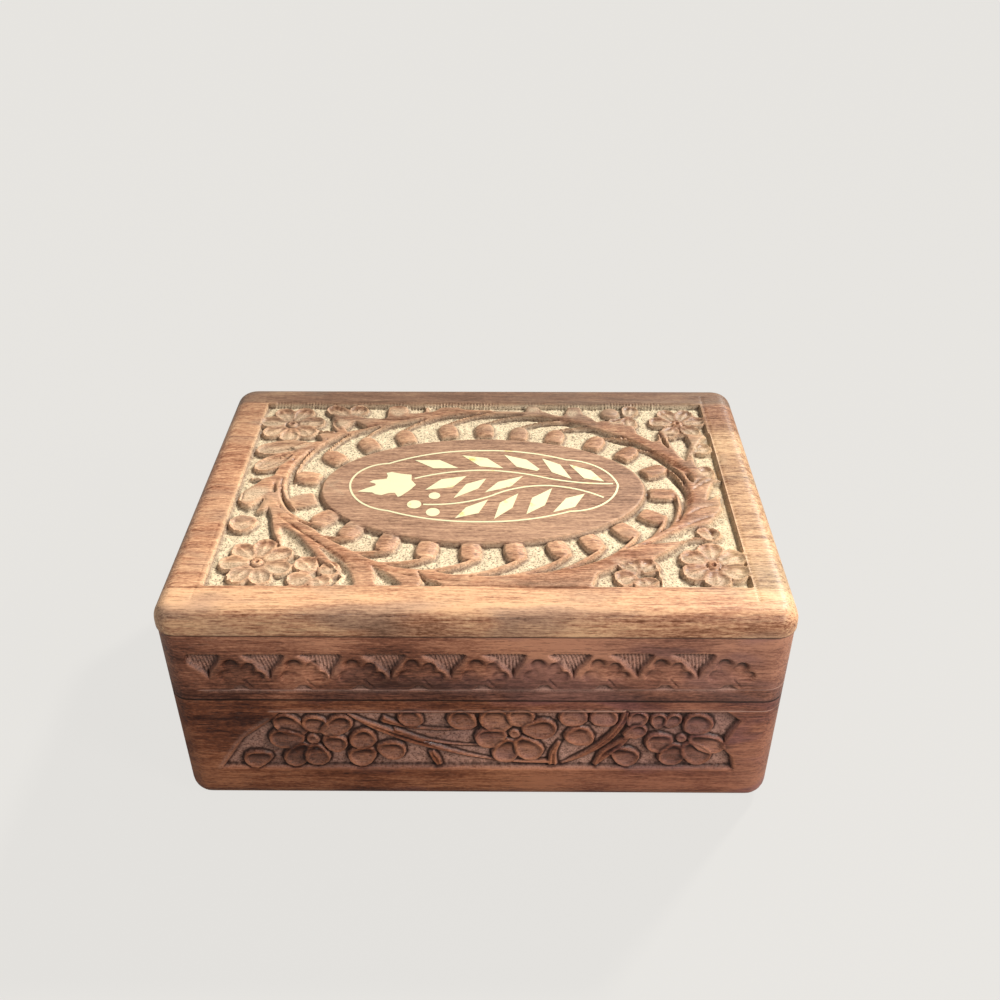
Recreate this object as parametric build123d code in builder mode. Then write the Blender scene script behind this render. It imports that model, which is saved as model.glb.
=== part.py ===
"""Keepsake box: a carved hardwood case with a hinged lid and brass let into its top.

The box stands on the XY plane with its centre on the Z axis and its front towards -Y.
A tray of four walls and a base carries a lid made of four rails under a thick board.
Two brass butt hinges lie in the seam, just inside the back face, where both edges are
bevelled so that the bevels meet as a stop once the lid has swung past upright.
The carving is low relief: a wreath of beads with swept tails round the inlay, a flower
in each corner, a strip of notches on the rails and a band of flowers on the walls.
"""

import os
from math import pi, sin

from build123d import *

os.makedirs("parts", exist_ok=True)

# ---------------------------------------------------------------------------
# Driving dimensions, in millimetres and degrees
# ---------------------------------------------------------------------------

# Case
box_width = 178.0            # lid board, left to right
box_depth = 127.0            # lid board, front to back
lid_overhang = 0.4           # lid board past the rails and walls, all round
tray_height = 42.9           # underside of the base to the rim of the tray
seam_gap = 0.2               # daylight between the closed lid and the tray
lid_frame_height = 24.4      # lid rails
board_thickness = 7.5        # lid board
wall = 9.0                   # walls and rails
corner_radius = 6.5          # upright outer corners of the case
bottom_radius = 6.0          # outer edge round the foot of the tray
board_top_radius = 5.0       # rolled top edge of the lid board
board_bottom_chamfer = 0.3   # eased lower edge of the lid board

# Base board, let into a rebate round the foot of the walls
base_thickness = 5.0
rebate_width = 2.0
base_fit = 0.1               # play between the base and its rebate

# Velvet lining, glued to the wood
lining_thickness = 0.8
lining_rim_drop = 3.0        # wall lining stops this far below the rim

# Hinges
hinge_spacing = 96.0         # centre to centre
hinge_length = 20.0
hinge_inset = 2.0            # pin axis inside the back face of the case
leaf_width = 6.0             # pin axis to the leaf's far edge
leaf_thickness = 0.8
barrel_radius = 1.6
pin_radius = 0.6
pin_clearance = 0.05         # radial, pin in its knuckles
knuckle_gap = 0.15           # between neighbouring knuckles
barrel_clearance = 0.25      # radial, barrel in its groove
mortise_fit = 0.1            # play round a leaf in its mortise
lid_opening = 102.0          # degrees, closed to the stop
stop_clearance = 2.0         # degrees left between the bevels at the stop

# Hinge screws, two in each leaf
screw_spacing = 12.0
screw_head_radius = 1.1
screw_shank_radius = 0.6
screw_length = 6.5
screw_clearance = 0.05       # all round a screw in its seat
screw_sides = 12             # flats round a screw, few because it repeats

# Brass inlay, pressed into pockets in the lid board
inlay_depth = 1.2
wire_width = 0.65
grid = 1.0                   # one square of the grid that the inlay is set out on

# Carving, all in low relief
carving_depth = 1.5          # from the face of the wood down to the ground
carving_slope = 15.0         # degrees, walls of what is left standing
flower_petals = 7
flower_heart = 0.2           # share of a flower's reach

# Carving of the lid: a panel inside a plain border, with a wreath round a plain oval field
panel_border = 12.5          # edge of the lid board to the panel
field_length = 103.4         # oval field, left to right
field_depth = 59.2
wreath_length = 131.0        # outer edge of the wreath
wreath_depth = 91.5
wreath_centre = (1.0, -0.8)  # from the middle of the lid
band_width = 6.0             # plain band left standing outside the wreath
bead_count = 23
bead_width = 7.0
tail_width = 3.4             # at its wide end
tail_sweep = 22.0            # how far a tail runs round the wreath
corner_flower = (66.5, 38.5, 11.0)    # its heart from the middle of the lid, and its reach
small_flower = (46.5, 43.5, 6.0)

# Carving of the sides: notches along the rails, and a sunk band of flowers on the walls
notch_spacing = 17.0
notch_width = 12.0
notch_height = 9.5
notch_foot = 8.5             # bottom of a rail to the point of a notch
notch_shift = -7.0           # middle of the row from the middle of a side
frieze_foot = 13.6           # height of the band's lower edge
frieze_height = 24.4
frieze_margin = 11.0         # end of a side to the band
frieze_flower = 11.0         # reach of a flower in the band
frieze_shift = 24.0          # how far the short sides' flowers move along
stem_width = 2.4

# ---------------------------------------------------------------------------
# Sizes and places worked out from them
# ---------------------------------------------------------------------------

case_width = box_width - 2 * lid_overhang
case_depth = box_depth - 2 * lid_overhang
inner_width = case_width - 2 * wall
inner_depth = case_depth - 2 * wall
lid_bottom = tray_height + seam_gap
board_bottom = lid_bottom + lid_frame_height
lid_top = board_bottom + board_thickness

hinge_height = tray_height + seam_gap / 2
back_face = case_depth / 2
hinge_y = back_face - hinge_inset
bevel_angle = (lid_opening + stop_clearance) / 2
knuckle_length = (hinge_length - 2 * knuckle_gap) / 3
groove_radius = barrel_radius + barrel_clearance
screw_y = hinge_y - (groove_radius + leaf_width) / 2
hinge_places = [("left", -hinge_spacing / 2), ("right", hinge_spacing / 2)]
screw_places = [
    (x + step * screw_spacing / 2, screw_y) for _, x in hinge_places for step in (-1, 1)
]

# ---------------------------------------------------------------------------
# Inlay drawing, in grid squares from the middle of the lid: a flower bud at the
# left sends out two stems with leaves, inside an oval of wire
# ---------------------------------------------------------------------------

oval_points = [
    (-41.2, 0.0), (-39.2, 6.8), (-30.0, 12.0), (-19.0, 17.0), (0.0, 20.0), (14.0, 19.0),
    (28.0, 14.5), (40.0, 8.2), (43.7, 0.0), (40.5, -8.2), (28.0, -14.4), (12.0, -19.2),
    (0.0, -20.0), (-14.0, -18.8), (-28.0, -14.4), (-38.4, -8.0),
]
upper_stem = [
    (-21.0, 3.3), (-9.8, 7.0), (1.9, 8.2), (10.9, 7.0), (19.1, 4.6), (27.3, 2.1), (42.2, 0.7),
]
lower_stem = [
    (-17.3, -11.0), (-7.5, -10.4), (3.9, -6.1), (12.9, -1.6), (21.9, -0.5), (30.9, -2.6),
    (38.7, -7.0),
]
leaf_outlines = [
    [(-21.6, 14.0), (-13.5, 14.2), (-7.3, 9.5), (-15.3, 9.3)],
    [(-6.3, 17.1), (2.0, 15.4), (7.4, 9.4), (-0.2, 10.5)],
    [(7.6, 17.4), (15.0, 14.5), (19.1, 9.0), (18.2, 7.9), (11.6, 10.4)],
    [(20.0, 15.3), (25.8, 11.7), (29.2, 3.3), (23.0, 7.2)],
    [(28.7, 11.8), (35.7, 8.2), (39.5, 1.9), (33.2, 3.7)],
    [(-17.2, -3.0), (-12.4, 2.9), (-4.4, 4.8), (-8.7, -1.6)],
    [(-8.1, -7.6), (-4.4, 0.2), (1.9, 3.4), (-0.5, -2.2)],
    [(1.6, -4.4), (5.7, 1.5), (13.7, 4.9), (9.8, -1.0)],
    [(-7.2, -18.2), (-4.0, -12.5), (2.7, -8.3), (-0.1, -15.5)],
    [(4.7, -18.5), (6.4, -10.0), (12.1, -4.9), (10.2, -12.7)],
    [(14.5, -16.0), (16.4, -7.3), (22.8, -2.0), (20.3, -11.2)],
    [(22.7, -14.9), (27.0, -7.4), (32.9, -5.0), (29.5, -12.1)],
]
bud_outline = [
    (-38.4, -4.2), (-36.0, -2.4), (-33.0, -0.6), (-33.3, 0.3), (-35.2, 1.2), (-34.2, 2.2),
    (-29.9, 3.1), (-29.7, 4.7), (-30.2, 6.4), (-28.6, 7.0), (-25.6, 6.0), (-22.1, 5.4),
    (-21.9, 2.2), (-20.3, -0.2), (-22.0, -3.2), (-24.6, -6.5), (-25.5, -7.0), (-26.6, -4.8),
    (-28.6, -4.9), (-30.8, -6.1), (-32.6, -5.6), (-33.8, -4.6),
]
berries = [(-14.1, -6.3, 1.8), (-20.1, -11.0, 2.2), (-14.1, -15.1, 2.1)]   # x, y, radius

# ---------------------------------------------------------------------------
# Drawing of the flower band, from the middle of the front: hearts, and the stem's path
# ---------------------------------------------------------------------------

frieze_hearts = [(-48.5, 26.0), (-13.0, 33.5), (11.0, 28.0), (33.0, 30.5), (60.5, 26.0)]
frieze_stem = [(-37.0, 36.5), (-20.0, 26.4), (2.0, 17.8), (24.0, 17.0), (42.0, 35.0)]


def on_grid(points):
    """Turn grid squares into millimetres."""
    return [(x * grid, y * grid) for x, y in points]


def bend_wire(points):
    """Draw arcs end to end, each from one point through the next to the third."""
    for start, middle, end in zip(points[:-2:2], points[1:-1:2], points[2::2]):
        ThreePointArc(start, middle, end)


def flower(reach):
    """Sketch a ring of petals round a heart; each petal is widest near its tip."""
    half = 0.8 * reach * sin(pi / flower_petals)
    heart = flower_heart * reach
    shoulder = 0.7 * reach
    with PolarLocations(0, flower_petals, start_angle=90):
        Polygon(
            (heart / 2, -half / 3), (shoulder, -half), (reach, -half / 2),
            (reach, half / 2), (shoulder, half), (heart / 2, half / 3),
            align=None,
        )
    RegularPolygon(heart, 8)


def screw(clearance=0.0):
    """A countersunk screw, or the room for it, pointing down from the XY plane."""
    head_depth = screw_head_radius - screw_shank_radius
    shank = screw_shank_radius + clearance
    with BuildPart() as shape:
        with BuildSketch():
            RegularPolygon(screw_head_radius + clearance, screw_sides)
        with BuildSketch(Plane.XY.offset(-head_depth)):
            RegularPolygon(shank, screw_sides)
        loft()
        with BuildSketch(Plane.XY.offset(-head_depth)):
            RegularPolygon(shank, screw_sides)
        extrude(amount=head_depth - screw_length - clearance)
    return shape.part


def save(part, name):
    """Label a finished piece and write it."""
    part.label = name
    export_step(part, f"parts/{name}.step")


# ---------------------------------------------------------------------------
# Walls and rails
# ---------------------------------------------------------------------------


def long_side(facing, bottom, height):
    """A full-width board, front (-1) or back (1), with its two outer corners rounded."""
    with BuildPart() as board:
        with BuildSketch(Plane.XY.offset(bottom)):
            with Locations((0, facing * (case_depth - wall) / 2)):
                Rectangle(case_width, wall)
            outer_corners = vertices().sort_by(Axis.Y, reverse=facing > 0)[:2]
            fillet(outer_corners, corner_radius)
        extrude(amount=height)
    return board.part


def short_side(facing, bottom, height):
    """A side board, left (-1) or right (1), that fits between the front and the back."""
    with BuildPart() as board:
        with BuildSketch(Plane.XY.offset(bottom)):
            with Locations((facing * (case_width - wall) / 2, 0)):
                Rectangle(wall, inner_depth)
        extrude(amount=height)
    return board.part


# ---------------------------------------------------------------------------
# Carving of the sides, as cutters for the ground round what is left standing
# ---------------------------------------------------------------------------


def frieze_cutter(face, board_length, shift):
    """The ground of the flower band on one wall; face has its Z axis pointing outwards."""
    length = board_length - 2 * frieze_margin
    hearts = [(x + shift, z) for x, z in frieze_hearts]
    stem = [(x + shift, z) for x, z in frieze_stem]
    ground = face.offset(-carving_depth)
    with BuildPart() as cutter:
        with BuildSketch(ground):
            with Locations((0, frieze_foot + frieze_height / 2)):
                Rectangle(length, frieze_height)
        extrude(amount=carving_depth)
        with BuildSketch(ground):
            with Locations(*[(x, z) for x, z in hearts if abs(x) < length / 2 - frieze_flower]):
                flower(frieze_flower)
            with BuildLine():
                bend_wire(stem)
            trace(line_width=stem_width)
        extrude(amount=carving_depth, mode=Mode.SUBTRACT)
    return cutter.part


def notch_cutter(face, board_length):
    """The row of notches along one rail."""
    count = int((board_length - notch_spacing) // notch_spacing)
    with BuildPart() as cutter:
        with BuildSketch(face):
            with Locations((notch_shift, lid_bottom + notch_foot)):
                with GridLocations(notch_spacing, 0, count, 1):
                    Polygon(
                        (0, 0), (0.4 * notch_width, notch_height),
                        (-0.6 * notch_width, notch_height),
                        align=None,
                    )
        extrude(amount=-carving_depth, taper=2 * carving_slope)
    return cutter.part


front_face = Plane((0, -case_depth / 2, 0), x_dir=(1, 0, 0), z_dir=(0, -1, 0))
rear_face = Plane((0, case_depth / 2, 0), x_dir=(-1, 0, 0), z_dir=(0, 1, 0))
left_face = Plane((-case_width / 2, 0, 0), x_dir=(0, -1, 0), z_dir=(-1, 0, 0))
right_face = Plane((case_width / 2, 0, 0), x_dir=(0, 1, 0), z_dir=(1, 0, 0))

# The rebate that the base sits in, as one cutter for all four walls
with BuildPart() as rebate:
    with BuildSketch():
        Rectangle(inner_width + 2 * rebate_width, inner_depth + 2 * rebate_width)
    extrude(amount=base_thickness)

# What the hinges need in the back wall: a bevel along the whole edge, and for each
# hinge a groove for its barrel, a mortise for its leaf and two screw holes
bevel_reach = hinge_inset + lid_overhang
with BuildPart() as hinge_seat:
    with BuildSketch(Plane.YZ.offset(-box_width / 2)):
        with BuildLine():
            corner = (hinge_y, hinge_height)
            level = PolarLine(corner, bevel_reach, 0, length_mode=LengthMode.HORIZONTAL)
            slope = PolarLine(corner, bevel_reach, -bevel_angle, length_mode=LengthMode.HORIZONTAL)
            Line(level @ 1, slope @ 1)
        make_face()
    extrude(amount=box_width)
    for _, hinge_x in hinge_places:
        with BuildSketch(Plane.YZ.offset(hinge_x - hinge_length / 2 - mortise_fit)):
            with Locations((hinge_y, hinge_height)):
                Circle(groove_radius)
            with Locations((hinge_y, hinge_height)):
                Rectangle(
                    leaf_width + mortise_fit,
                    seam_gap / 2 + leaf_thickness,
                    align=(Align.MAX, Align.MAX),
                )
        extrude(amount=hinge_length + 2 * mortise_fit)
    with Locations(Plane.XY.offset(tray_height)):
        with Locations(*screw_places):
            add(screw(screw_clearance))

for facing, face, name in ((-1, front_face, "front_wall"), (1, rear_face, "back_wall")):
    with BuildPart() as long_wall:
        add(long_side(facing, 0, tray_height))
        foot_edges = edges().group_by(Axis.Z)[0].sort_by(Axis.Y, reverse=facing > 0)
        fillet(foot_edges[:-1], bottom_radius)
        add(rebate.part, mode=Mode.SUBTRACT)
        add(frieze_cutter(face, case_width, 0), mode=Mode.SUBTRACT)
        if facing > 0:
            add(hinge_seat.part, mode=Mode.SUBTRACT)
    save(long_wall.part, name)

for facing, face, name in ((-1, left_face, "left_wall"), (1, right_face, "right_wall")):
    with BuildPart() as short_wall:
        add(short_side(facing, 0, tray_height))
        foot_edge = edges().group_by(Axis.Z)[0].sort_by(Axis.X, reverse=facing > 0)[0]
        fillet(foot_edge, bottom_radius)
        add(rebate.part, mode=Mode.SUBTRACT)
        add(frieze_cutter(face, inner_depth, frieze_shift), mode=Mode.SUBTRACT)
    save(short_wall.part, name)

long_rails = ((-1, front_face, "lid_front_rail"), (1, rear_face, "lid_back_rail"))
for facing, face, name in long_rails:
    with BuildPart() as long_rail:
        add(long_side(facing, lid_bottom, lid_frame_height))
        add(notch_cutter(face, case_width), mode=Mode.SUBTRACT)
        if facing > 0:
            lid_seat = mirror(
                hinge_seat.part, about=Plane.XY.offset(hinge_height), mode=Mode.PRIVATE
            )
            add(lid_seat, mode=Mode.SUBTRACT)
    save(long_rail.part, name)

for facing, face, name in ((-1, left_face, "lid_left_rail"), (1, right_face, "lid_right_rail")):
    with BuildPart() as short_rail:
        add(short_side(facing, lid_bottom, lid_frame_height))
        add(notch_cutter(face, inner_depth), mode=Mode.SUBTRACT)
    save(short_rail.part, name)

with BuildPart() as base_board:
    with BuildSketch():
        Rectangle(
            inner_width + 2 * (rebate_width - base_fit),
            inner_depth + 2 * (rebate_width - base_fit),
        )
    extrude(amount=base_thickness)
save(base_board.part, "base_board")

# ---------------------------------------------------------------------------
# Lid board and the brass let into it
# ---------------------------------------------------------------------------

pocket_floor = Plane.XY.offset(lid_top - inlay_depth)

with BuildPart() as inlay_oval:
    with BuildSketch(pocket_floor):
        with BuildLine():
            bend_wire(on_grid(oval_points + oval_points[:1]))
        trace(line_width=wire_width)
    extrude(amount=inlay_depth)
save(inlay_oval.part, "inlay_oval")

with BuildPart() as inlay_stems:
    for stem in (upper_stem, lower_stem):
        with BuildSketch(pocket_floor):
            with BuildLine():
                bend_wire(on_grid(stem))
            trace(line_width=wire_width)
        extrude(amount=inlay_depth)
save(inlay_stems.part, "inlay_stems")

with BuildPart() as inlay_leaves:
    with BuildSketch(pocket_floor):
        for outline in leaf_outlines:
            with BuildLine():
                Polyline(*on_grid(outline), close=True)
            make_face()
    extrude(amount=inlay_depth)
save(inlay_leaves.part, "inlay_leaves")

with BuildPart() as inlay_bud:
    with BuildSketch(pocket_floor):
        with BuildLine():
            Polyline(*on_grid(bud_outline), close=True)
        make_face()
    extrude(amount=inlay_depth)
save(inlay_bud.part, "inlay_bud")

with BuildPart() as inlay_berries:
    with BuildSketch(pocket_floor):
        for x, y, radius in berries:
            with Locations((x * grid, y * grid)):
                Circle(radius * grid)
    extrude(amount=inlay_depth)
save(inlay_berries.part, "inlay_berries")

# The carved ground of the lid. A place in the wreath is given by how far it is round the
# oval field (a share of the field's edge) and how far across the wreath (0 field, 1 band).
with BuildLine():
    field_edge = EllipticalCenterArc(
        wreath_centre, field_length / 2, field_depth / 2, arc_size=360
    )
    wreath_edge = EllipticalCenterArc(
        wreath_centre, wreath_length / 2, wreath_depth / 2, arc_size=360
    )

wreath_width = (wreath_length - field_length) / 2
bead_turn = bead_width / field_edge.length
tail_turn = tail_sweep / field_edge.length

# Outline of a bead, in its own width and the wreath's width, and of a tail's middle line,
# in its own sweep, the wreath's width and its own width
bead_outline = [(-0.38, -0.02), (-0.5, 0.33), (-0.27, 0.62), (0.27, 0.62), (0.5, 0.33), (0.38, -0.02)]
tail_line = [(0.05, 0.58, 0.45), (-0.3, 0.74, 0.5), (-0.65, 0.9, 0.7), (-1.0, 1.04, 1.0)]


def in_wreath(around, across):
    """The point so far round and across the wreath."""
    inner = field_edge @ (around % 1)
    outer = wreath_edge @ (around % 1)
    return inner + (outer - inner) * across


with BuildPart() as lid_carving:
    ground = Plane.XY.offset(lid_top - carving_depth)
    with BuildSketch(ground):
        Rectangle(box_width - 2 * panel_border, box_depth - 2 * panel_border)
        with Locations(wreath_centre):
            Ellipse(
                wreath_length / 2 + band_width, wreath_depth / 2 + band_width, mode=Mode.SUBTRACT
            )
            Ellipse(wreath_length / 2, wreath_depth / 2)
            Ellipse(field_length / 2, field_depth / 2, mode=Mode.SUBTRACT)
    extrude(amount=carving_depth)
    with BuildSketch(ground):
        for bead in range(bead_count):
            start = bead / bead_count
            Polygon(
                *[in_wreath(start + turn * bead_turn, share) for turn, share in bead_outline],
                align=None,
            )
    extrude(amount=carving_depth, taper=carving_slope, mode=Mode.SUBTRACT)
    with BuildSketch(ground):
        for bead in range(bead_count):
            start = bead / bead_count
            half = tail_width / wreath_width / 2
            outer_side = [
                in_wreath(start + turn * tail_turn, share + width * half)
                for turn, share, width in tail_line
            ]
            inner_side = [
                in_wreath(start + turn * tail_turn, share - width * half)
                for turn, share, width in tail_line
            ]
            Polygon(*outer_side, *reversed(inner_side), align=None)
        for side_x in (-1, 1):
            for side_y in (-1, 1):
                for x, y, reach in (corner_flower, small_flower):
                    with Locations((side_x * x, side_y * y)):
                        flower(reach)
    extrude(amount=carving_depth, mode=Mode.SUBTRACT)

with BuildPart() as lid_board:
    with BuildSketch(Plane.XY.offset(board_bottom)):
        RectangleRounded(box_width, box_depth, corner_radius + lid_overhang)
    extrude(amount=board_thickness)
    fillet(faces().sort_by(Axis.Z)[-1].edges(), board_top_radius)
    chamfer(faces().sort_by(Axis.Z)[0].edges(), board_bottom_chamfer)
    for cutter in (lid_carving, inlay_oval, inlay_stems, inlay_leaves, inlay_bud, inlay_berries):
        add(cutter.part, mode=Mode.SUBTRACT)
save(lid_board.part, "lid_board")

# ---------------------------------------------------------------------------
# Velvet lining
# ---------------------------------------------------------------------------

floor_top = base_thickness + lining_thickness
wall_lining_height = tray_height - lining_rim_drop - floor_top

with BuildPart() as floor_lining:
    with BuildSketch(Plane.XY.offset(base_thickness)):
        Rectangle(inner_width, inner_depth)
    extrude(amount=lining_thickness)
save(floor_lining.part, "floor_lining")

with BuildPart() as lid_lining:
    with BuildSketch(Plane.XY.offset(board_bottom)):
        Rectangle(inner_width, inner_depth)
    extrude(amount=-lining_thickness)
save(lid_lining.part, "lid_lining")

for facing, name in ((-1, "front_lining"), (1, "back_lining")):
    with BuildPart() as long_lining:
        with BuildSketch(Plane.XY.offset(floor_top)):
            with Locations((0, facing * (inner_depth - lining_thickness) / 2)):
                Rectangle(inner_width, lining_thickness)
        extrude(amount=wall_lining_height)
    save(long_lining.part, name)

for facing, name in ((-1, "left_lining"), (1, "right_lining")):
    with BuildPart() as short_lining:
        with BuildSketch(Plane.XY.offset(floor_top)):
            with Locations((facing * (inner_width - lining_thickness) / 2, 0)):
                Rectangle(lining_thickness, inner_depth - 2 * lining_thickness)
        extrude(amount=wall_lining_height)
    save(short_lining.part, name)

# ---------------------------------------------------------------------------
# Hinges: two outer knuckles on the tray leaf, one between them on the lid leaf
# ---------------------------------------------------------------------------


def hinge_leaf(hinge_x, rising, knuckle_starts):
    """A leaf below (-1) or above (1) the seam, with a knuckle from each start, left to right."""
    seam_face = hinge_height + rising * seam_gap / 2
    left_end = hinge_x - hinge_length / 2
    with BuildPart() as leaf:
        with BuildSketch(Plane.XY.offset(seam_face)):
            with Locations((hinge_x, hinge_y)):
                Rectangle(hinge_length, leaf_width, align=(Align.CENTER, Align.MAX))
        extrude(amount=rising * leaf_thickness)
        with BuildSketch(Plane.YZ.offset(left_end)):
            with Locations((hinge_y, hinge_height)):
                Circle(groove_radius)
        extrude(amount=hinge_length, mode=Mode.SUBTRACT)
        for start in knuckle_starts:
            with BuildSketch(Plane.YZ.offset(left_end + start)):
                with Locations((hinge_y, hinge_height)):
                    Circle(barrel_radius)
                with Locations((hinge_y, seam_face + rising * leaf_thickness / 2)):
                    Rectangle(
                        leaf_width / 2, leaf_thickness, align=(Align.MAX, Align.CENTER)
                    )
            extrude(amount=knuckle_length)
        with BuildSketch(Plane.YZ.offset(left_end)):
            with Locations((hinge_y, hinge_height)):
                Circle(pin_radius + pin_clearance)
        extrude(amount=hinge_length, mode=Mode.SUBTRACT)
        screw_face = Plane((hinge_x, screw_y, seam_face), x_dir=(1, 0, 0), z_dir=(0, 0, -rising))
        with Locations(screw_face):
            with GridLocations(screw_spacing, 0, 2, 1):
                add(screw(screw_clearance), mode=Mode.SUBTRACT)
    return leaf.part


outer_knuckles = (0, 2 * (knuckle_length + knuckle_gap))
middle_knuckle = (knuckle_length + knuckle_gap,)

for side, hinge_x in hinge_places:
    save(hinge_leaf(hinge_x, -1, outer_knuckles), f"{side}_hinge_tray_leaf")
    save(hinge_leaf(hinge_x, 1, middle_knuckle), f"{side}_hinge_lid_leaf")
    with BuildPart() as hinge_pin:
        with BuildSketch(Plane.YZ.offset(hinge_x - hinge_length / 2)):
            with Locations((hinge_y, hinge_height)):
                Circle(pin_radius)
        extrude(amount=hinge_length)
    save(hinge_pin.part, f"{side}_hinge_pin")

for rising, name in ((-1, "tray_hinge_screws"), (1, "lid_hinge_screws")):
    seam_face = hinge_height + rising * seam_gap / 2
    with BuildPart() as screws:
        with Locations(Plane((0, 0, seam_face), x_dir=(1, 0, 0), z_dir=(0, 0, -rising))):
            with Locations(*[(x, -rising * y) for x, y in screw_places]):
                add(screw())
    save(screws.part, name)
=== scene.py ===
# %% [markdown]
# # A carved keepsake box with a hinged lid and a brass inlay
# The box is a tray of four walls on a let-in base, and a lid of four rails under a thick board.
# All of its outside is hand-carved: a wreath of beads with swept tails round an oval on the lid,
# and bands of flowers on the sides. The inside is lined with velvet.
# This lesson dresses the box that the CAD model gives. The CAD frame is loaded first and never
# moved, so every piece modelled here is put where the frame says.

# %% Load the CAD frame
from math import ceil, cos, hypot, pi, radians, sin

import bmesh
import bpy
import numpy as np
from mathutils import Matrix, Vector


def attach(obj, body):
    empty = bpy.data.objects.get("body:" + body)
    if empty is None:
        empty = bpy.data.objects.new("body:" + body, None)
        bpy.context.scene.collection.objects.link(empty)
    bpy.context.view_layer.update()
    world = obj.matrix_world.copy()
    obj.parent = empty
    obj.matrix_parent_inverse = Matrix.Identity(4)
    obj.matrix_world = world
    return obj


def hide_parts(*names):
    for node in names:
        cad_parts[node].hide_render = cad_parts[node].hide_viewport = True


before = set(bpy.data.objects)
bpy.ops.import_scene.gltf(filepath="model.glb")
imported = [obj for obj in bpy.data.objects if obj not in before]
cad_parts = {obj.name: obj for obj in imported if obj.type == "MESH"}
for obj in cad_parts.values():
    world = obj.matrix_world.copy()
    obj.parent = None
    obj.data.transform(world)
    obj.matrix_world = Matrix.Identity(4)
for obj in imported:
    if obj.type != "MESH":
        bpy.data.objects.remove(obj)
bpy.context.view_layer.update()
mm = 0.001
print("CAD nodes:", len(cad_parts))

# %% [markdown]
# ## Camera
# The camera stands in front of the box and looks down on it at 35 degrees. Its place and lens
# decide how fast the lid's sides run together, so they are set before anything else.
# A camera looks along its own -Z, so it is first tipped up from looking straight down, then
# turned a hair to the side.

# %% Camera
camera_place = Vector((8.8, -283.1, 267.3)) * mm
camera_pitch, camera_turn, camera_roll = 35.01, 0.50, -0.10    # degrees
camera_lens = 38.86                                            # mm, on a 36 mm sensor

bpy.ops.object.select_all(action="DESELECT")
bpy.ops.object.camera_add()
camera = bpy.context.object
camera.matrix_world = (
    Matrix.Translation(camera_place)
    @ Matrix.Rotation(radians(camera_turn), 4, "Z")
    @ Matrix.Rotation(radians(90 - camera_pitch), 4, "X")
    @ Matrix.Rotation(radians(camera_roll), 4, "Z")
)
camera.data.lens = camera_lens
camera.data.sensor_width = 36
camera.data.clip_start = 0.01
bpy.context.scene.camera = camera
bpy.context.scene.view_settings.view_transform = "Standard"
print("camera", [round(v, 3) for v in camera.location], "lens", camera_lens)

# %% [markdown]
# ## Node helper
# Every finish here is a small network of shader nodes. Writing each link by hand is long, so
# one helper adds a node, sets what is a value and links what is a socket.

# %% Helper that adds and links a node
def node(tree, kind, inputs=None, **settings):
    """Add a node, set its properties and fill its inputs with values or sockets."""
    made = tree.nodes.new(kind)
    for name, value in settings.items():
        setattr(made, name, value)
    for name, value in (inputs or {}).items():
        if isinstance(value, bpy.types.NodeSocket):
            tree.links.new(value, made.inputs[name])
        else:
            made.inputs[name].default_value = value
    return made


def ramp(tree, factor, *stops):
    """A colour ramp; each stop is a place and a colour."""
    made = node(tree, "ShaderNodeValToRGB", {"Fac": factor})
    made.color_ramp.elements[0].position = stops[0][0]
    made.color_ramp.elements[1].position = stops[-1][0]
    for place, _ in stops[1:-1]:
        made.color_ramp.elements.new(place)
    for element, (_, colour) in zip(made.color_ramp.elements, stops):
        element.color = (*colour, 1)
    return made.outputs["Color"]


def mix(tree, factor, a, b, blend="MIX"):
    """Mix two colours; 4-part constants or sockets."""
    made = node(tree, "ShaderNodeMix", data_type="RGBA", blend_type=blend)
    for slot, value in ((0, factor), (6, a), (7, b)):
        if isinstance(value, bpy.types.NodeSocket):
            tree.links.new(value, made.inputs[slot])
        elif slot == 0:
            made.inputs[slot].default_value = value
        else:
            made.inputs[slot].default_value = (*value, 1)
    return made.outputs[2]


def math(tree, operation, a, b=0.5, c=0.5, clamp=False):
    """One sum on numbers or sockets."""
    made = node(tree, "ShaderNodeMath", {0: a, 1: b, 2: c}, operation=operation)
    made.use_clamp = clamp
    return made.outputs[0]


def new_material(name):
    """An empty material with its Principled shader; returns material, tree and shader."""
    material = bpy.data.materials.new(name)
    material.use_nodes = True
    tree = material.node_tree
    return material, tree, tree.nodes["Principled BSDF"]


print("node helpers ready")

# %% [markdown]
# ## Floor, background and light
# The box stands on a plain pale floor. A key light from the back right rakes over the carving,
# which is what makes a relief readable: every cut gets a bright and a dark side. A sun lamp is
# used because it falls evenly; its width of several degrees keeps the shadows soft.
# The front faces away from the key. A lamp the size of a window stands near, to the right of it,
# so that its light dies away to the left; the sky and the floor fill the rest. The floor is
# darker to every ray but the camera's, which sees mostly its plain pale colour with a part of
# the real shadow in it.

# %% Floor, key light, window and fill
background = (0.799, 0.783, 0.753)
key_from, key_strength, key_width = Vector((0.64, 0.78, 0.86)), 4.6, 5      # W/m2 and degrees
window_place, window_size, window_power = Vector((0.40, -0.32, 0.40)), 0.16, 2.2     # m and W
fill_strength, floor_bounce, shadow_share = 0.31, 0.36, 0.06

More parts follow.
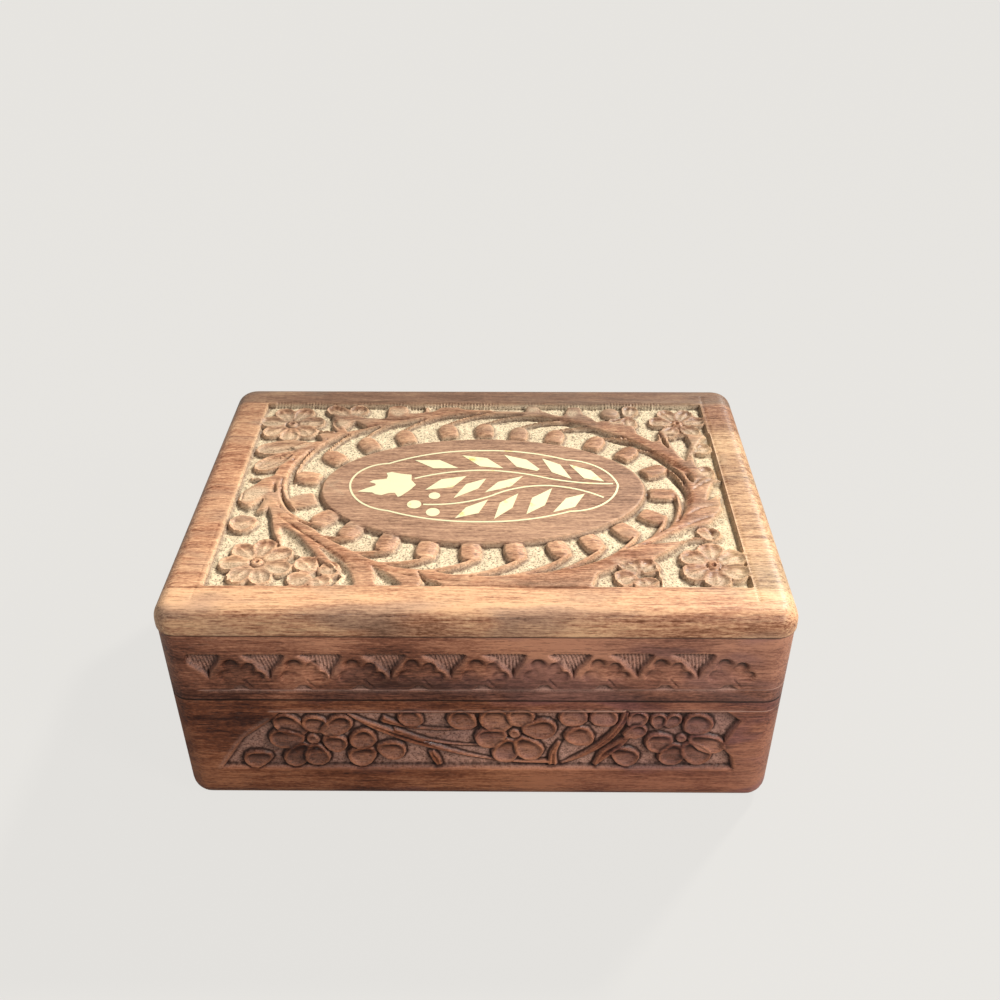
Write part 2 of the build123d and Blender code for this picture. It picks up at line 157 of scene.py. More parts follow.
bpy.ops.object.select_all(action="DESELECT")
bpy.ops.mesh.primitive_plane_add(size=8)
floor = bpy.context.object
floor.name = "studio_floor"
bpy.ops.object.mode_set(mode="EDIT")
bpy.ops.mesh.subdivide(number_cuts=7)
bpy.ops.object.mode_set(mode="OBJECT")
floor_paint, tree, shader = new_material("pale_floor")
shader.inputs["Base Color"].default_value = (floor_bounce, floor_bounce, 0.95 * floor_bounce, 1)
shader.inputs["Roughness"].default_value = 1.0
shader.inputs["Specular IOR Level"].default_value = 0.0
seen_floor = node(tree, "ShaderNodeBsdfDiffuse", {
    "Color": tuple(0.72 * shadow_share * c for c in background) + (1,)})
plain = node(tree, "ShaderNodeEmission", {
    "Color": (*background, 1), "Strength": 1 - shadow_share})
seen_sum = node(tree, "ShaderNodeAddShader", {0: seen_floor.outputs[0], 1: plain.outputs[0]})
path = node(tree, "ShaderNodeLightPath")
both = node(tree, "ShaderNodeMixShader", {
    0: path.outputs["Is Camera Ray"], 1: shader.outputs[0], 2: seen_sum.outputs[0]})
tree.links.new(both.outputs[0], tree.nodes["Material Output"].inputs["Surface"])
floor.data.materials.append(floor_paint)

bpy.ops.object.light_add(type="SUN")
key = bpy.context.object
key.name = "key"
key.data.energy, key.data.angle, key.data.color = key_strength, radians(key_width), (1.0, 0.965, 0.90)
key.rotation_euler = key_from.to_track_quat("Z", "Y").to_euler()

bpy.ops.object.light_add(type="AREA", location=window_place)
window = bpy.context.object
window.name = "window"
window.data.energy, window.data.size, window.data.color = window_power, window_size, (1.0, 0.95, 0.93)
window.rotation_euler = (window_place - Vector((0, -0.06, 0.04))).to_track_quat("Z", "Y").to_euler()

world = bpy.data.worlds.new("studio")
bpy.context.scene.world = world
world.use_nodes = True
tree = world.node_tree
sky = tree.nodes["Background"]
path = node(tree, "ShaderNodeLightPath")
tint = mix(tree, path.outputs["Is Camera Ray"], (0.96, 0.96, 1.0), background)
tree.links.new(tint, sky.inputs["Color"])
seen = math(tree, "MAXIMUM", path.outputs["Is Camera Ray"], fill_strength)
tree.links.new(seen, sky.inputs["Strength"])
print("key from", tuple(key_from), "window at", tuple(window_place), "fill", fill_strength)

# %% [markdown]
# ## Wood
# The box is of a dense brown hardwood, oiled and rubbed, with a fine straight grain along each
# board. The lid has been rubbed to a warm orange; the sides are darker, with a purple heart in
# places. An image of wood could be laid on the boards, but it would stop at their edges, so the
# wood is built from noise that fills the whole box. `Wood` keeps one finish together.
# Grain is noise pulled out along the board, so the coordinates are squeezed in that direction.

# %% Shades, and the noises that wood is made of
# dark, middle and warm colour of each board, and of the purple clouds in it
lid_shades = (0.165, 0.054, 0.020), (0.45, 0.210, 0.114), (0.79, 0.475, 0.262), (0.30, 0.185, 0.122)
rail_shades = (0.062, 0.016, 0.007), (0.27, 0.096, 0.050), (0.60, 0.27, 0.150), (0.19, 0.085, 0.070)
wall_shades = (0.040, 0.008, 0.003), (0.205, 0.060, 0.024), (0.52, 0.205, 0.095), (0.165, 0.060, 0.060)
lid_raw, side_raw = (0.78, 0.645, 0.430), (0.62, 0.365, 0.280)


class Wood:
    """One wood finish. along is the axis of its grain: 0 is across the box, 1 front to back."""

    def __init__(self, name, along, shades, raw, is_lid):
        self.material, self.tree, self.shader = new_material(name)
        self.dark, self.middle, self.warm, self.purple = shades
        self.along, self.raw, self.is_lid = along, raw, is_lid
        self.place = node(self.tree, "ShaderNodeTexCoord").outputs["Object"]
        self.parts = node(self.tree, "ShaderNodeSeparateXYZ", {"Vector": self.place}).outputs

    def grain(self, stretch, size, detail=2.0, rough=0.5, warp=0.0, turn=0.0):
        """Noise of a size in mm, pulled out along the board."""
        scale = [1 / (size * mm)] * 3
        scale[self.along] /= stretch
        at = node(self.tree, "ShaderNodeMapping", {
            "Vector": self.place, "Scale": scale, "Rotation": (0, 0, turn)}).outputs[0]
        made = node(self.tree, "ShaderNodeTexNoise", {
            "Vector": at, "Scale": 1.0, "Detail": detail, "Roughness": rough, "Distortion": warp})
        return made.outputs["Fac"]

    def blend(self, noises, weights, base=0.5):
        """A weighted sum of noises, each taken about its middle."""
        total = base
        for noise, weight in zip(noises, weights):
            centred = math(self.tree, "SUBTRACT", total, weight / 2)
            total = math(self.tree, "MULTIPLY_ADD", noise, weight, centred)
        return total

    def between(self, axis, start, end, low=0.0, high=1.0):
        """A value that runs from low to high between two places in mm."""
        made = node(self.tree, "ShaderNodeMapRange", {
            "Value": self.parts[axis], "From Min": start * mm, "From Max": end * mm,
            "To Min": low, "To Max": high}, interpolation_type="SMOOTHSTEP")
        return made.outputs[0]

    def near_height(self, height, reach, top):
        """1 close to a height, which may be a socket, falling to 0 at reach mm from it."""
        off = math(self.tree, "SUBTRACT", self.parts[2], height)
        off = math(self.tree, "ABSOLUTE", off)
        return math(self.tree, "MULTIPLY_ADD", off, -1 / (reach * mm), top, clamp=True)


print("shades for", len((lid_shades, rail_shades, wall_shades)), "woods")

# %% [markdown]
# ### Figure
# Broad clouds change the colour from one part of a board to another, bands and streaks follow
# the grain, and short dark pores and pale fibres break them up. Their sum is a level that picks
# a shade. `tones` makes a board lighter or darker from one place to another: hands lift the lid
# by its front edge and rub it light, its rolled front edge is painted darker low down, as painted
# shade where it turns under, and it is greyer towards its back edge. The lid is purple brown in
# its oval; on the sides the purple comes in clouds that grow towards the right.

# %% The colour of the board before it is carved
oval_middle, oval_half = (1.0, -1.3), (51.7, 29.6)  # mm, the plain oval on the lid
lid_weights, side_weights = (0.7, 0.85, 1.15, 0.95, 0.95), (1.4, 0.75, 0.75, 0.75, 0.75)


def figure(wood):
    """Give a wood its noises, from the broadest to the finest."""
    tree = wood.tree
    wood.cloud = wood.grain(1.8, 22.0, 3.0, 0.5, 0.4)
    wood.patch = wood.grain(2.6, 13.0, 2.0, 0.5, 0.5, 0.3)
    wood.bands = wood.grain(11, 2.6, 3.0, 0.6, 0.5)
    wood.streaks = wood.grain(26, 0.62, 5.0, 0.68, 0.1)
    wood.fibres = wood.grain(12, 0.28, 2.0, 0.6)
    wood.mottle = wood.grain(2.4, 0.60, 3.0, 0.65)
    wood.pores = math(tree, "GREATER_THAN", wood.grain(14, 0.40, 1.0), 0.66)
    rasp = wood.grain(9, 0.42, 2.0, 0.5, 0.0, 0.62)
    where = ramp(tree, wood.cloud, (0.46, (0.1, 0.1, 0.1)), (0.58, (1, 1, 1)))
    wood.marks = math(tree, "MULTIPLY", rasp, where)


def in_oval(wood):
    """1 within the lid's plain oval and 0 outside it."""
    tree = wood.tree
    off = [math(tree, "MULTIPLY_ADD", wood.parts[a], 1 / (oval_half[a] * mm), -oval_middle[a] / oval_half[a])
           for a in (0, 1)]
    squares = math(tree, "MULTIPLY_ADD", off[0], off[0], math(tree, "MULTIPLY", off[1], off[1]))
    return math(tree, "MULTIPLY_ADD", math(tree, "SQRT", squares), -12, 12.6, clamp=True)


def board_colour(wood, tones):
    """The shade that the level picks, with purple heart and dark pores."""
    tree = wood.tree
    noises = wood.cloud, wood.bands, wood.streaks, wood.fibres, wood.mottle
    level = wood.blend(noises, lid_weights if wood.is_lid else side_weights)
    for tone in tones:
        level = math(tree, "ADD", level, wood.between(*tone))
    wood.level = level
    colour = ramp(tree, level, (0.17, wood.dark), (0.50, wood.middle), (0.90, wood.warm))
    heart = math(tree, "MULTIPLY_ADD", wood.patch, 6.0, -3.0, clamp=True)
    if wood.is_lid:
        heart = math(tree, "MULTIPLY_ADD", in_oval(wood), 1.0, heart, clamp=True)
    else:
        heart = math(tree, "ADD", heart, wood.between(0, -75, 60, -0.7, 0.4), clamp=True)
    shade = math(tree, "MULTIPLY_ADD", level, 1.5, 0.25)
    shade = node(tree, "ShaderNodeCombineColor", {0: shade, 1: shade, 2: shade}).outputs[0]
    tinted = mix(tree, 1.0, shade, wood.purple, "MULTIPLY")
    colour = mix(tree, math(tree, "MULTIPLY", heart, 0.70), colour, tinted)
    return mix(tree, math(tree, "MULTIPLY", wood.pores, 0.35), colour, tuple(0.5 * c for c in wood.dark))


print("oval", [2 * half for half in oval_half], "mm")

# %% [markdown]
# ### What carving and age do to the colour
# Two numbers kept on each vertex while carving do this: `bare` is 1 where the tool left raw pale
# wood in the ground, which a punch has stippled, and it is also raised in the lower halves of gouges
# as painted highlight. `hollow` is above 0 in creases, which are dirty and in painted shade, and
# where shade is painted into the upper halves of gouges and round the foot of raised shapes. It
# is below 0 on edges, which are rubbed light, and on painted highlights. The lid is also greyer
# towards the back and yellow on its right margin. Lines that were scribed late show fresh wood,
# and the seams are dark with old polished finish and painted shadow.

# %% The colour of carved and aged wood
seams = (43.0, 67.5)                                # mm, heights of the lid's two joints


def carved_colour(wood, colour):
    """Raw stippled wood in the ground, dirty hollows with painted shade, and edges rubbed light, with painted
    highlight.
    """
    tree = wood.tree
    wood.bare = node(tree, "ShaderNodeAttribute", attribute_name="bare").outputs["Fac"]
    wood.hollow = node(tree, "ShaderNodeAttribute", attribute_name="hollow").outputs["Fac"]
    wood.stipple = wood.grain(1, 0.50, 2.0, 0.6)
    pit, dull, bright = (tuple(min(1, share * c) for c in wood.raw) for share in (0.25, 0.7, 1.12))
    spots = ramp(tree, wood.stipple, (0.35, pit), (0.43, dull), (0.50, wood.raw), (0.66, bright))
    worn = math(tree, "MULTIPLY_ADD", wood.cloud, *((0.5, 0.72) if wood.is_lid else (1.8, -0.05)))
    colour = mix(tree, math(tree, "MULTIPLY", wood.bare, worn, clamp=True), colour, spots)
    # dirty creases and painted shade: creases, the upper halves of gouges and the foot of raised shapes are
    # darkened
    dirt_and_shade = math(tree, "MULTIPLY", wood.hollow, 0.75 if wood.is_lid else 0.95, clamp=True)
    colour = mix(tree, dirt_and_shade, colour, tuple(0.5 * c for c in wood.dark))
    # edges rubbed light, and painted highlight on the lower halves of gouges and on lit walls
    rub_and_highlight = math(tree, "MULTIPLY", wood.hollow, -0.25, clamp=True)
    return mix(tree, rub_and_highlight, colour, tuple(min(1, 1.2 * c) for c in wood.warm))


def lid_back_and_margin_colour(wood, colour):
    """The lid greyer towards the back, its yellow right margin and its dark back edge."""
    tree = wood.tree
    grey, yellow_wood, back_edge = (0.38, 0.42, 0.44), (0.80, 0.60, 0.32), (0.13, 0.088, 0.062)
    covered = math(tree, "MULTIPLY_ADD", wood.bare, -0.7, 1.0)
    # greyer towards the back, less so where the ground is bare
    greying = math(tree, "MULTIPLY", wood.between(1, 5, 60, 0.0, 0.50), covered)
    colour = mix(tree, greying, colour, grey, "MULTIPLY")
    yellow = math(tree, "MULTIPLY", wood.between(0, 66, 80, 0.0, 0.60), wood.between(1, 25, 45, 1.0, 0.0))
    yellow = math(tree, "MULTIPLY", yellow, wood.between(1, -58, -54, 0.0, 1.0))
    colour = mix(tree, math(tree, "MULTIPLY", yellow, wood.level, clamp=True), colour, yellow_wood)
    return mix(tree, wood.between(1, 50.8, 52.6, 0.0, 0.55), colour, back_edge)


def scribed_colour(wood, colour, line, rise, start):
    """A fresh line at a height, rising by so much per mm, from a place on."""
    tree = wood.tree
    slope = math(tree, "MULTIPLY_ADD", wood.parts[0], rise if wood.along == 0 else 0.0, line * mm)
    near = wood.near_height(slope, 0.24, 1.1)
    near = math(tree, "MULTIPLY", near, wood.between(0, start - 1, start + 1))
    near = math(tree, "MULTIPLY", near, math(tree, "MULTIPLY_ADD", wood.bands, 2.6, -0.75, clamp=True))
    return mix(tree, near, colour, tuple(0.95 * c for c in wood.raw))


def seam_shadow_colour(wood, colour, seam):
    """Dark on both sides of a seam: painted shadow in its gap, and old polished finish gone dark."""
    # painted shadow of the seam's gap, with old dark finish, within half a millimetre of it
    near = wood.near_height(seam * mm, 0.5, 1.25)
    return mix(wood.tree, math(wood.tree, "MULTIPLY", near, 0.85), colour, (0.015, 0.007, 0.005))


print("seams at", seams, "mm")

# %% [markdown]
# ### Gloss, bump and the finished woods
# Raw wood is dull and polished hollows shine. The bump is finer than the carving, which is
# real geometry: it only holds fibres, pores, rasp marks and the points of the stipple.

# %% Make the woods
def surface(wood):
    """Roughness and bump."""
    tree = wood.tree
    oiled = math(tree, "MULTIPLY_ADD", wood.streaks, 0.30, 0.26)
    gloss = math(tree, "MULTIPLY_ADD", wood.bare, 0.30, oiled)
    gloss = math(tree, "MULTIPLY_ADD", wood.hollow, -0.14, gloss)
    tree.links.new(gloss, wood.shader.inputs["Roughness"])
    wood.shader.inputs["Specular IOR Level"].default_value = 0.25 if wood.is_lid else 0.34
    noises = wood.fibres, wood.streaks, wood.marks, wood.mottle
    height = wood.blend(noises, (0.5, 0.7, 0.8, 0.5))
    height = math(tree, "MULTIPLY_ADD", wood.pores, -0.5, height)
    punched = math(tree, "MULTIPLY", wood.stipple, wood.bare)
    height = math(tree, "MULTIPLY_ADD", punched, 1.2, height)
    bump = node(tree, "ShaderNodeBump", {"Height": height, "Strength": 0.8, "Distance": 0.13 * mm})
    tree.links.new(bump.outputs[0], wood.shader.inputs["Normal"])


def make_wood(name, along, shades, raw, tones=(), scribed=(), is_lid=False):
    """A hardwood finish. A tone is an axis, the two places in mm it runs between, and how much
    it adds to the level at each. A scribed line is a height, its rise per mm and its start."""
    wood = Wood(name, along, shades, raw, is_lid)
    figure(wood)
    colour = carved_colour(wood, board_colour(wood, tones))
    if is_lid:
        colour = lid_back_and_margin_colour(wood, colour)
    for line, rise, start in scribed:
        colour = scribed_colour(wood, colour, line, rise, start)
    for seam in seams:
        colour = seam_shadow_colour(wood, colour, seam)
    wood.tree.links.new(colour, wood.shader.inputs["Base Color"])
    surface(wood)
    return wood.material


# The second lid tone darkens the lower part of the rolled front edge: painted shade where it turns under.
lid_tones = (
    (1, -53, -50, 0.30, 0.0), (1, -62.6, -59.8, -0.22, 0.0),
    (0, -80, -40, 0.06, 0.0), (0, 15, 60, 0.0, -0.07))
rail_tones = (0, -85, 85, -0.03, 0.14), (2, 58, 66, 0.0, 0.14), (2, 47, 53, -0.13, 0.0)
wall_tones = (0, -85, 85, -0.03, 0.14), (0, -74, -66, 0.12, 0.0), (2, 10, 13, 0.10, 0.0)
rail_line, wall_line = (47.2, 0.007, -79), (38.6, 0.007, -60)
lid_wood = make_wood("carved_lid_wood", 0, lid_shades, lid_raw, tones=lid_tones, is_lid=True)
woods = {
    ("rail", 0): make_wood("rail_wood_long_grain", 0, rail_shades, side_raw, rail_tones, [rail_line]),
    ("rail", 1): make_wood("rail_wood_cross_grain", 1, rail_shades, side_raw, (), [rail_line]),
    ("wall", 0): make_wood("wall_wood_long_grain", 0, wall_shades, side_raw, wall_tones, [wall_line]),
    ("wall", 1): make_wood("wall_wood_cross_grain", 1, wall_shades, side_raw, (), [wall_line]),
}
print("wood finishes:", lid_wood.name, [wood.name for wood in woods.values()])

# %% [markdown]
# ## Brass and steel
# The inlay is sheet brass, sanded flush with the wood and rubbed with it ever since. Fine
# sanding marks run every way, so it glows pale rather than mirrors. The hinges are the same
# metal, left as pressed. Their pins are bright steel.

# %% Metals
def make_metal(name, bright, tarnish, rough, marks=0.25, metallic=1.0):
    """Rubbed metal: fine crossed marks, and tarnish in clouds."""
    material, tree, shader = new_material(name)
    place = node(tree, "ShaderNodeTexCoord").outputs["Object"]
    cloud = node(tree, "ShaderNodeTexNoise", {
        "Vector": place, "Scale": 160.0, "Detail": 4.0, "Roughness": 0.65}).outputs["Fac"]
    colour = ramp(tree, cloud, (0.42, bright), (0.60, bright), (0.72, tarnish))
    tree.links.new(colour, shader.inputs["Base Color"])
    scratches = []
    for turn in (0.5, -0.9):
        at = node(tree, "ShaderNodeMapping", {
            "Vector": place, "Rotation": (0, 0, turn), "Scale": (150, 6000, 3000)}).outputs[0]
        scratches.append(node(tree, "ShaderNodeTexNoise", {
            "Vector": at, "Scale": 1.0, "Detail": 2.0}).outputs["Fac"])
    rubbed = math(tree, "ADD", *scratches)
    tree.links.new(math(tree, "MULTIPLY_ADD", rubbed, marks, rough - marks), shader.inputs["Roughness"])
    bump = node(tree, "ShaderNodeBump", {"Height": rubbed, "Strength": 0.3, "Distance": 0.03 * mm})
    tree.links.new(bump.outputs[0], shader.inputs["Normal"])
    shader.inputs["Metallic"].default_value = metallic
    return material


inlay_brass = make_metal("inlay_brass", (0.84, 0.79, 0.50), (0.72, 0.60, 0.18), 0.55, metallic=0.35)
hinge_brass = make_metal("hinge_brass", (0.78, 0.60, 0.27), (0.50, 0.34, 0.12), 0.38)
pin_steel = make_metal("pin_steel", (0.62, 0.62, 0.60), (0.35, 0.33, 0.30), 0.30)
print("metals ready")

# %% [markdown]
# ## Velvet
# Velvet is a pile of fibres standing on end: dark where it is looked at straight down, bright
# where it turns away. Sheen on the shader gives that rim, and clouds of noise show where the
# pile has been brushed one way or the other.

# %% Velvet
velvet, tree, shader = new_material("wine_velvet")
place = node(tree, "ShaderNodeTexCoord").outputs["Object"]
brushed = node(tree, "ShaderNodeTexNoise", {
    "Vector": place, "Scale": 55.0, "Detail": 3.0, "Distortion": 0.8}).outputs["Fac"]
pile = node(tree, "ShaderNodeTexNoise", {
    "Vector": place, "Scale": 3200.0, "Detail": 2.0}).outputs["Fac"]
shade = math(tree, "MULTIPLY_ADD", pile, 0.35, math(tree, "MULTIPLY", brushed, 0.75))
deep_wine, wine, brushed_wine = (0.075, 0.004, 0.010), (0.17, 0.010, 0.020), (0.30, 0.028, 0.040)
colour = ramp(tree, shade, (0.35, deep_wine), (0.56, wine), (0.75, brushed_wine))
tree.links.new(colour, shader.inputs["Base Color"])
shader.inputs["Roughness"].default_value = 0.95
shader.inputs["Specular IOR Level"].default_value = 0.1
shader.inputs["Sheen Weight"].default_value = 0.6
shader.inputs["Sheen Roughness"].default_value = 0.4
shader.inputs["Sheen Tint"].default_value = (0.9, 0.35, 0.35, 1)
bump = node(tree, "ShaderNodeBump", {"Height": pile, "Strength": 0.6, "Distance": 0.15 * mm})
tree.links.new(bump.outputs[0], shader.inputs["Normal"])
print("velvet ready")

# %% [markdown]
# ## Carving
# A carver draws the pattern on the flat board, sinks the ground round it, and then shapes what
# is left standing. The same order works here. It could be sculpted, or cut with booleans, but
# a few hundred cuts would be slow and would leave ragged faces. So a `Relief` holds a fine raster
# over one face: how deep each point is cut, in mm, how bare it is, and how much painted shade lies
# there, with painted highlight where that is below 0. Shapes are outlines of a few corners with
# bowed sides. Each cut only looks at the part of the raster near its outline, so a whole lid takes a second.

# %% The raster that a face is carved in
ground_depth = 1.8            # mm, from the face to the ground
raster_step = 0.25            # mm between points


class Relief:
    """Depths over u and v, in mm: 0 at the face and negative into the wood. bare is how raw the
    ground is left, and left_bare how raw the shapes are that stand on it. The third raster is
    painted shade, which darkens the hollow of a petal, and painted highlight where it is below 0;
    the foot share is how much painted shade lies at the foot of what stands."""

    def __init__(self, u0, u1, v0, v1, bare, left_bare=0.0, foot_shade=0.15):
        self.u = np.linspace(u0, u1, round((u1 - u0) / raster_step) + 1)
        self.v = np.linspace(v0, v1, round((v1 - v0) / raster_step) + 1)
        self.across, self.up = np.meshgrid(self.u, self.v)
        self.height = np.zeros_like(self.across)
        self.bare = np.zeros_like(self.across)
        # painted shade above 0 and painted highlight below 0: in the gouges of petals, round the foot of
        # raised shapes and on lit walls
        self.polish = np.zeros_like(self.across)
        self.ground_bare, self.left_bare, self.foot_shade = bare, left_bare, foot_shade

    def near(self, points, margin=1.5):
        """The part of the raster within a margin of an outline."""
        (u0, v0), (u1, v1) = points.min(0) - margin, points.max(0) + margin
        rows = slice(*np.searchsorted(self.v, (v0, v1)))
        return rows, slice(*np.searchsorted(self.u, (u0, u1)))


print("ground", ground_depth, "mm deep, raster step", raster_step, "mm")

# %% [markdown]
# ### Outlines on the raster
# An outline is a ring of points. `inside` measures how far within it each point of the raster
# lies, which is all that a cut needs: its wall starts where that distance is 0.

# %% Soft steps, outlines and the distance inside them
def ease(t):
    """0 to 1 with a soft start and end."""
    t = np.clip(t, 0, 1)
    return t * t * (3 - 2 * t)


def outline(corners, step=1.0):
    """Points round a shape. A corner is (u, v) or (u, v, bow); bow is how far, in mm, the side
    to the next corner bulges out."""
    corners = [(*corner, 0)[:3] for corner in corners]
    following = corners[1:] + corners[:1]
    area = sum(a[0] * b[1] - b[0] * a[1] for a, b in zip(corners, following))
    out = 1 if area > 0 else -1
    points = []
    for (u, v, bow), (u2, v2, _) in zip(corners, following):
        du, dv = u2 - u, v2 - v
        length = hypot(du, dv)
        pieces = max(1, ceil(length / step)) if bow else 1
        for k in range(pieces):
            t = k / pieces
            bulge = out * bow * 4 * t * (1 - t) / max(length, 1e-6)
            points.append((u + du * t + dv * bulge, v + dv * t - du * bulge))
    return np.array(points)


def inside(relief, points):
    """The window of the raster near an outline, and how far inside it each point is, in mm."""
    window = relief.near(points)
    u, v = relief.across[window], relief.up[window]
    nearest = np.full(u.shape, 1e9)
    within = np.zeros(u.shape, bool)
    for (au, av), (bu, bv) in zip(points, np.roll(points, -1, 0)):
        du, dv = bu - au, bv - av
        t = np.clip(((u - au) * du + (v - av) * dv) / max(du * du + dv * dv, 1e-9), 0, 1)
        nearest = np.minimum(nearest, (u - au - t * du) ** 2 + (v - av - t * dv) ** 2)
        if av != bv:
            within ^= ((av > v) != (bv > v)) & (u < du * (v - av) / (bv - av) + au)
    return window, np.sqrt(nearest) * np.where(within, 1, -1)


print("outline of a square:", len(outline([(0, 0), (1, 0), (1, 1), (0, 1)])), "points")

# %% [markdown]
# ## Cuts and raised shapes
# A few tools do all of the carving. `sink` lowers a cell to the ground with a sloping wall.
# `leave` stands a shape back up out of the ground, with a top that may be dished or ridged, and
# lays painted shade round its foot. The tops never rise above the face, as nothing can be carved upwards.

# %% Sink a cell, and leave a shape standing
def sink(relief, corners, wall=0.8, depth=ground_depth):
    """Lower a cell to the ground, with walls that break crisply from the face and run out softly."""
    window, within = inside(relief, outline(corners))
    cut = -depth * (1 - (1 - np.clip(within / wall, 0, 1)) ** 1.7)
    relief.height[window] = np.minimum(relief.height[window], cut)
    bared = relief.ground_bare * ease((within - 0.12 * wall) / 0.5)
    relief.bare[window] = np.maximum(relief.bare[window], bared)


def leave(relief, points, top, wall=0.6):
    """Stand a shape up: top(u, v, within) gives its heights, in mm from the face."""
    window, within = inside(relief, points)
    heights = top(relief.across[window], relief.up[window], within)
    raised = -ground_depth + (heights + ground_depth) * np.clip(within / wall, 0, 1) ** 1.2
    old = relief.height[window]
    relief.height[window] = np.where(within > 0, np.maximum(old, np.minimum(raised, 0)), old)
    relief.bare[window] *= 1 - (1 - relief.left_bare) * ease(within / (0.5 * wall))
    # painted shade round the foot of the shape, where its wall meets the ground
    foot = relief.foot_shade * ease(1.2 - np.abs(within + 0.15) / 0.5)
    relief.polish[window] = np.maximum(relief.polish[window] * (1 - ease(within / 0.5)), foot)


print("sink and leave are ready")

# %% [markdown]
# ### Lines
# A stem, a tail or a scratch is a strip along a smooth path, whose width changes on the way.
# `tail` leaves such a strip standing, `groove` cuts it as a V, `scribe` scratches it with a
# scriber, which may show fresh wood, and `hatch` fills a cell with fine gouge marks.

# %% Strips, tails, grooves, scratches and hatching
def curve(points, steps=6):
    """A smooth path through a few points."""
    path = np.array([points[0], *points, points[-1]], float)
    ts = np.arange(steps)[:, None] / steps
    parts = []
    for a, b, c, d in zip(path, path[1:], path[2:], path[3:]):
        parts.append(0.5 * (2 * b + (c - a) * ts + (2 * a - 5 * b + 4 * c - d) * ts**2
                            + (3 * b - a - 3 * c + d) * ts**3))
    return np.concatenate([*parts, path[-1:]])


def strip(points, widths):
    """The outline of a strip along a path, whose width runs through the widths given."""
    path = curve(points)
    along = np.concatenate([[0], np.cumsum(np.hypot(*np.diff(path, axis=0).T))])
    half = np.interp(along / along[-1], np.linspace(0, 1, len(widths)), widths) / 2
    heading = np.gradient(path, axis=0)
    heading /= np.hypot(*heading.T)[:, None]
    side = np.stack([-heading[:, 1], heading[:, 0]], 1) * half[:, None]
    return np.concatenate([path + side, (path - side)[::-1]])


def tail(relief, points, widths, level=-0.1):
    """Leave a strip with a softly rounded back."""
    def top(u, v, within):
        return level - 0.35 * (1 - ease(within / 1.1))

    leave(relief, strip(points, widths), top, 0.6)


def groove(relief, points, widths, depth=0.5):
    """Cut a V-shaped line that changes width along its path."""
    window, within = inside(relief, strip(points, widths))
    relief.height[window] -= depth * np.clip(within / (0.5 * max(widths)), 0, 1)


def scribe(relief, points, width=0.7, depth=0.25, bare=0.0, rubbed=0.0):
    """Scratch a fine V-shaped line, which may show fresh wood, and may be painted lighter as a painted
    highlight.
    """
    window, within = inside(relief, strip(points, [width, width]))
    share = np.clip(within / (width / 2), 0, 1)
    relief.height[window] -= depth * share
    relief.bare[window] = np.maximum(relief.bare[window], bare * share)
    # the lightening is painted highlight
    relief.polish[window] -= rubbed * share


def hatch(relief, corners, spacing, turn=0.0, depth=0.3):
    """Cut a row of fine gouge marks across a cell; turn is their lean, in radians."""
    window, within = inside(relief, outline(corners))
    run = relief.across[window] * cos(turn) + relief.up[window] * sin(turn)
    wave = 0.5 - 0.5 * np.cos(2 * pi * run / spacing + 0.5 * np.sin(run / 3.1))
    relief.height[window] -= depth * wave * ease(within / 0.7)


print("line tools are ready")

# %% [markdown]
# ### Placing a shape between two points
# A petal or a bead is drawn once, as shares of its length and width, and then placed from its
# base to its tip, so it can lie any way round.

# %% The line from a base to a tip
def line_to(base, tip):
    """The length of a line, and the two parts of its direction."""
    (bu, bv), (tu, tv) = base, tip
    length = hypot(tu - bu, tv - bv)
    return length, (tu - bu) / length, (tv - bv) / length


def frame_of(base, tip):
    """A function that gives distance along and to the left of the line from base to tip."""
    bu, bv = base
    length, cu, cv = line_to(base, tip)
    return length, lambda u, v: ((u - bu) * cu + (v - bv) * cv, (v - bv) * cu - (u - bu) * cv)


def placed(base, tip, width, shape):
    """Corners given as shares of the length and the width, placed along a line."""
    bu, bv = base
    length, cu, cv = line_to(base, tip)
    return [(bu + cu * length * a - cv * width * s, bv + cv * length * a + cu * width * s, *rest)
            for a, s, *rest in shape]


print("a line 3 mm over and 4 mm up is", line_to((0, 0), (3, 4))[0], "mm long")

# %% [markdown]
# ## Motifs
# The pattern is built from a few motifs that come back everywhere. A petal is a lobe, dished
# with a gouge and often creased down its middle; it sinks towards the flower's heart. A flower is
# a ring of petals round a drilled button. The upper half of each gouge cut is painted darker, as
# painted shade, and its lower half paler, as painted highlight; one function lays both.

# %% Petals
lobe = [
    (0, 0.15), (0, -0.15), (0.18, -0.34), (0.40, -0.47), (0.64, -0.5), (0.84, -0.41), (0.96, -0.22),
    (1, 0), (0.96, 0.22), (0.84, 0.41), (0.64, 0.5), (0.40, 0.47), (0.18, 0.34),
]


def paint_gouge_shading(relief, edge, window, share, polish, lower, pale):
    """Paint the upper half of a gouge cut darker, as painted shade, and its lower half paler, as painted
    highlight.
    """
    low, high = edge[:, 1].min(), edge[:, 1].max()
    upper = ease((relief.up[window] - low) / (high - low) * 2.2 - 0.9)
    shade = polish * (upper + lower * (1 - upper))
    relief.polish[window] = relief.polish[window] * (1 - share) + share * shade
    relief.bare[window] = np.maximum(relief.bare[window], share * pale * (1 - upper))


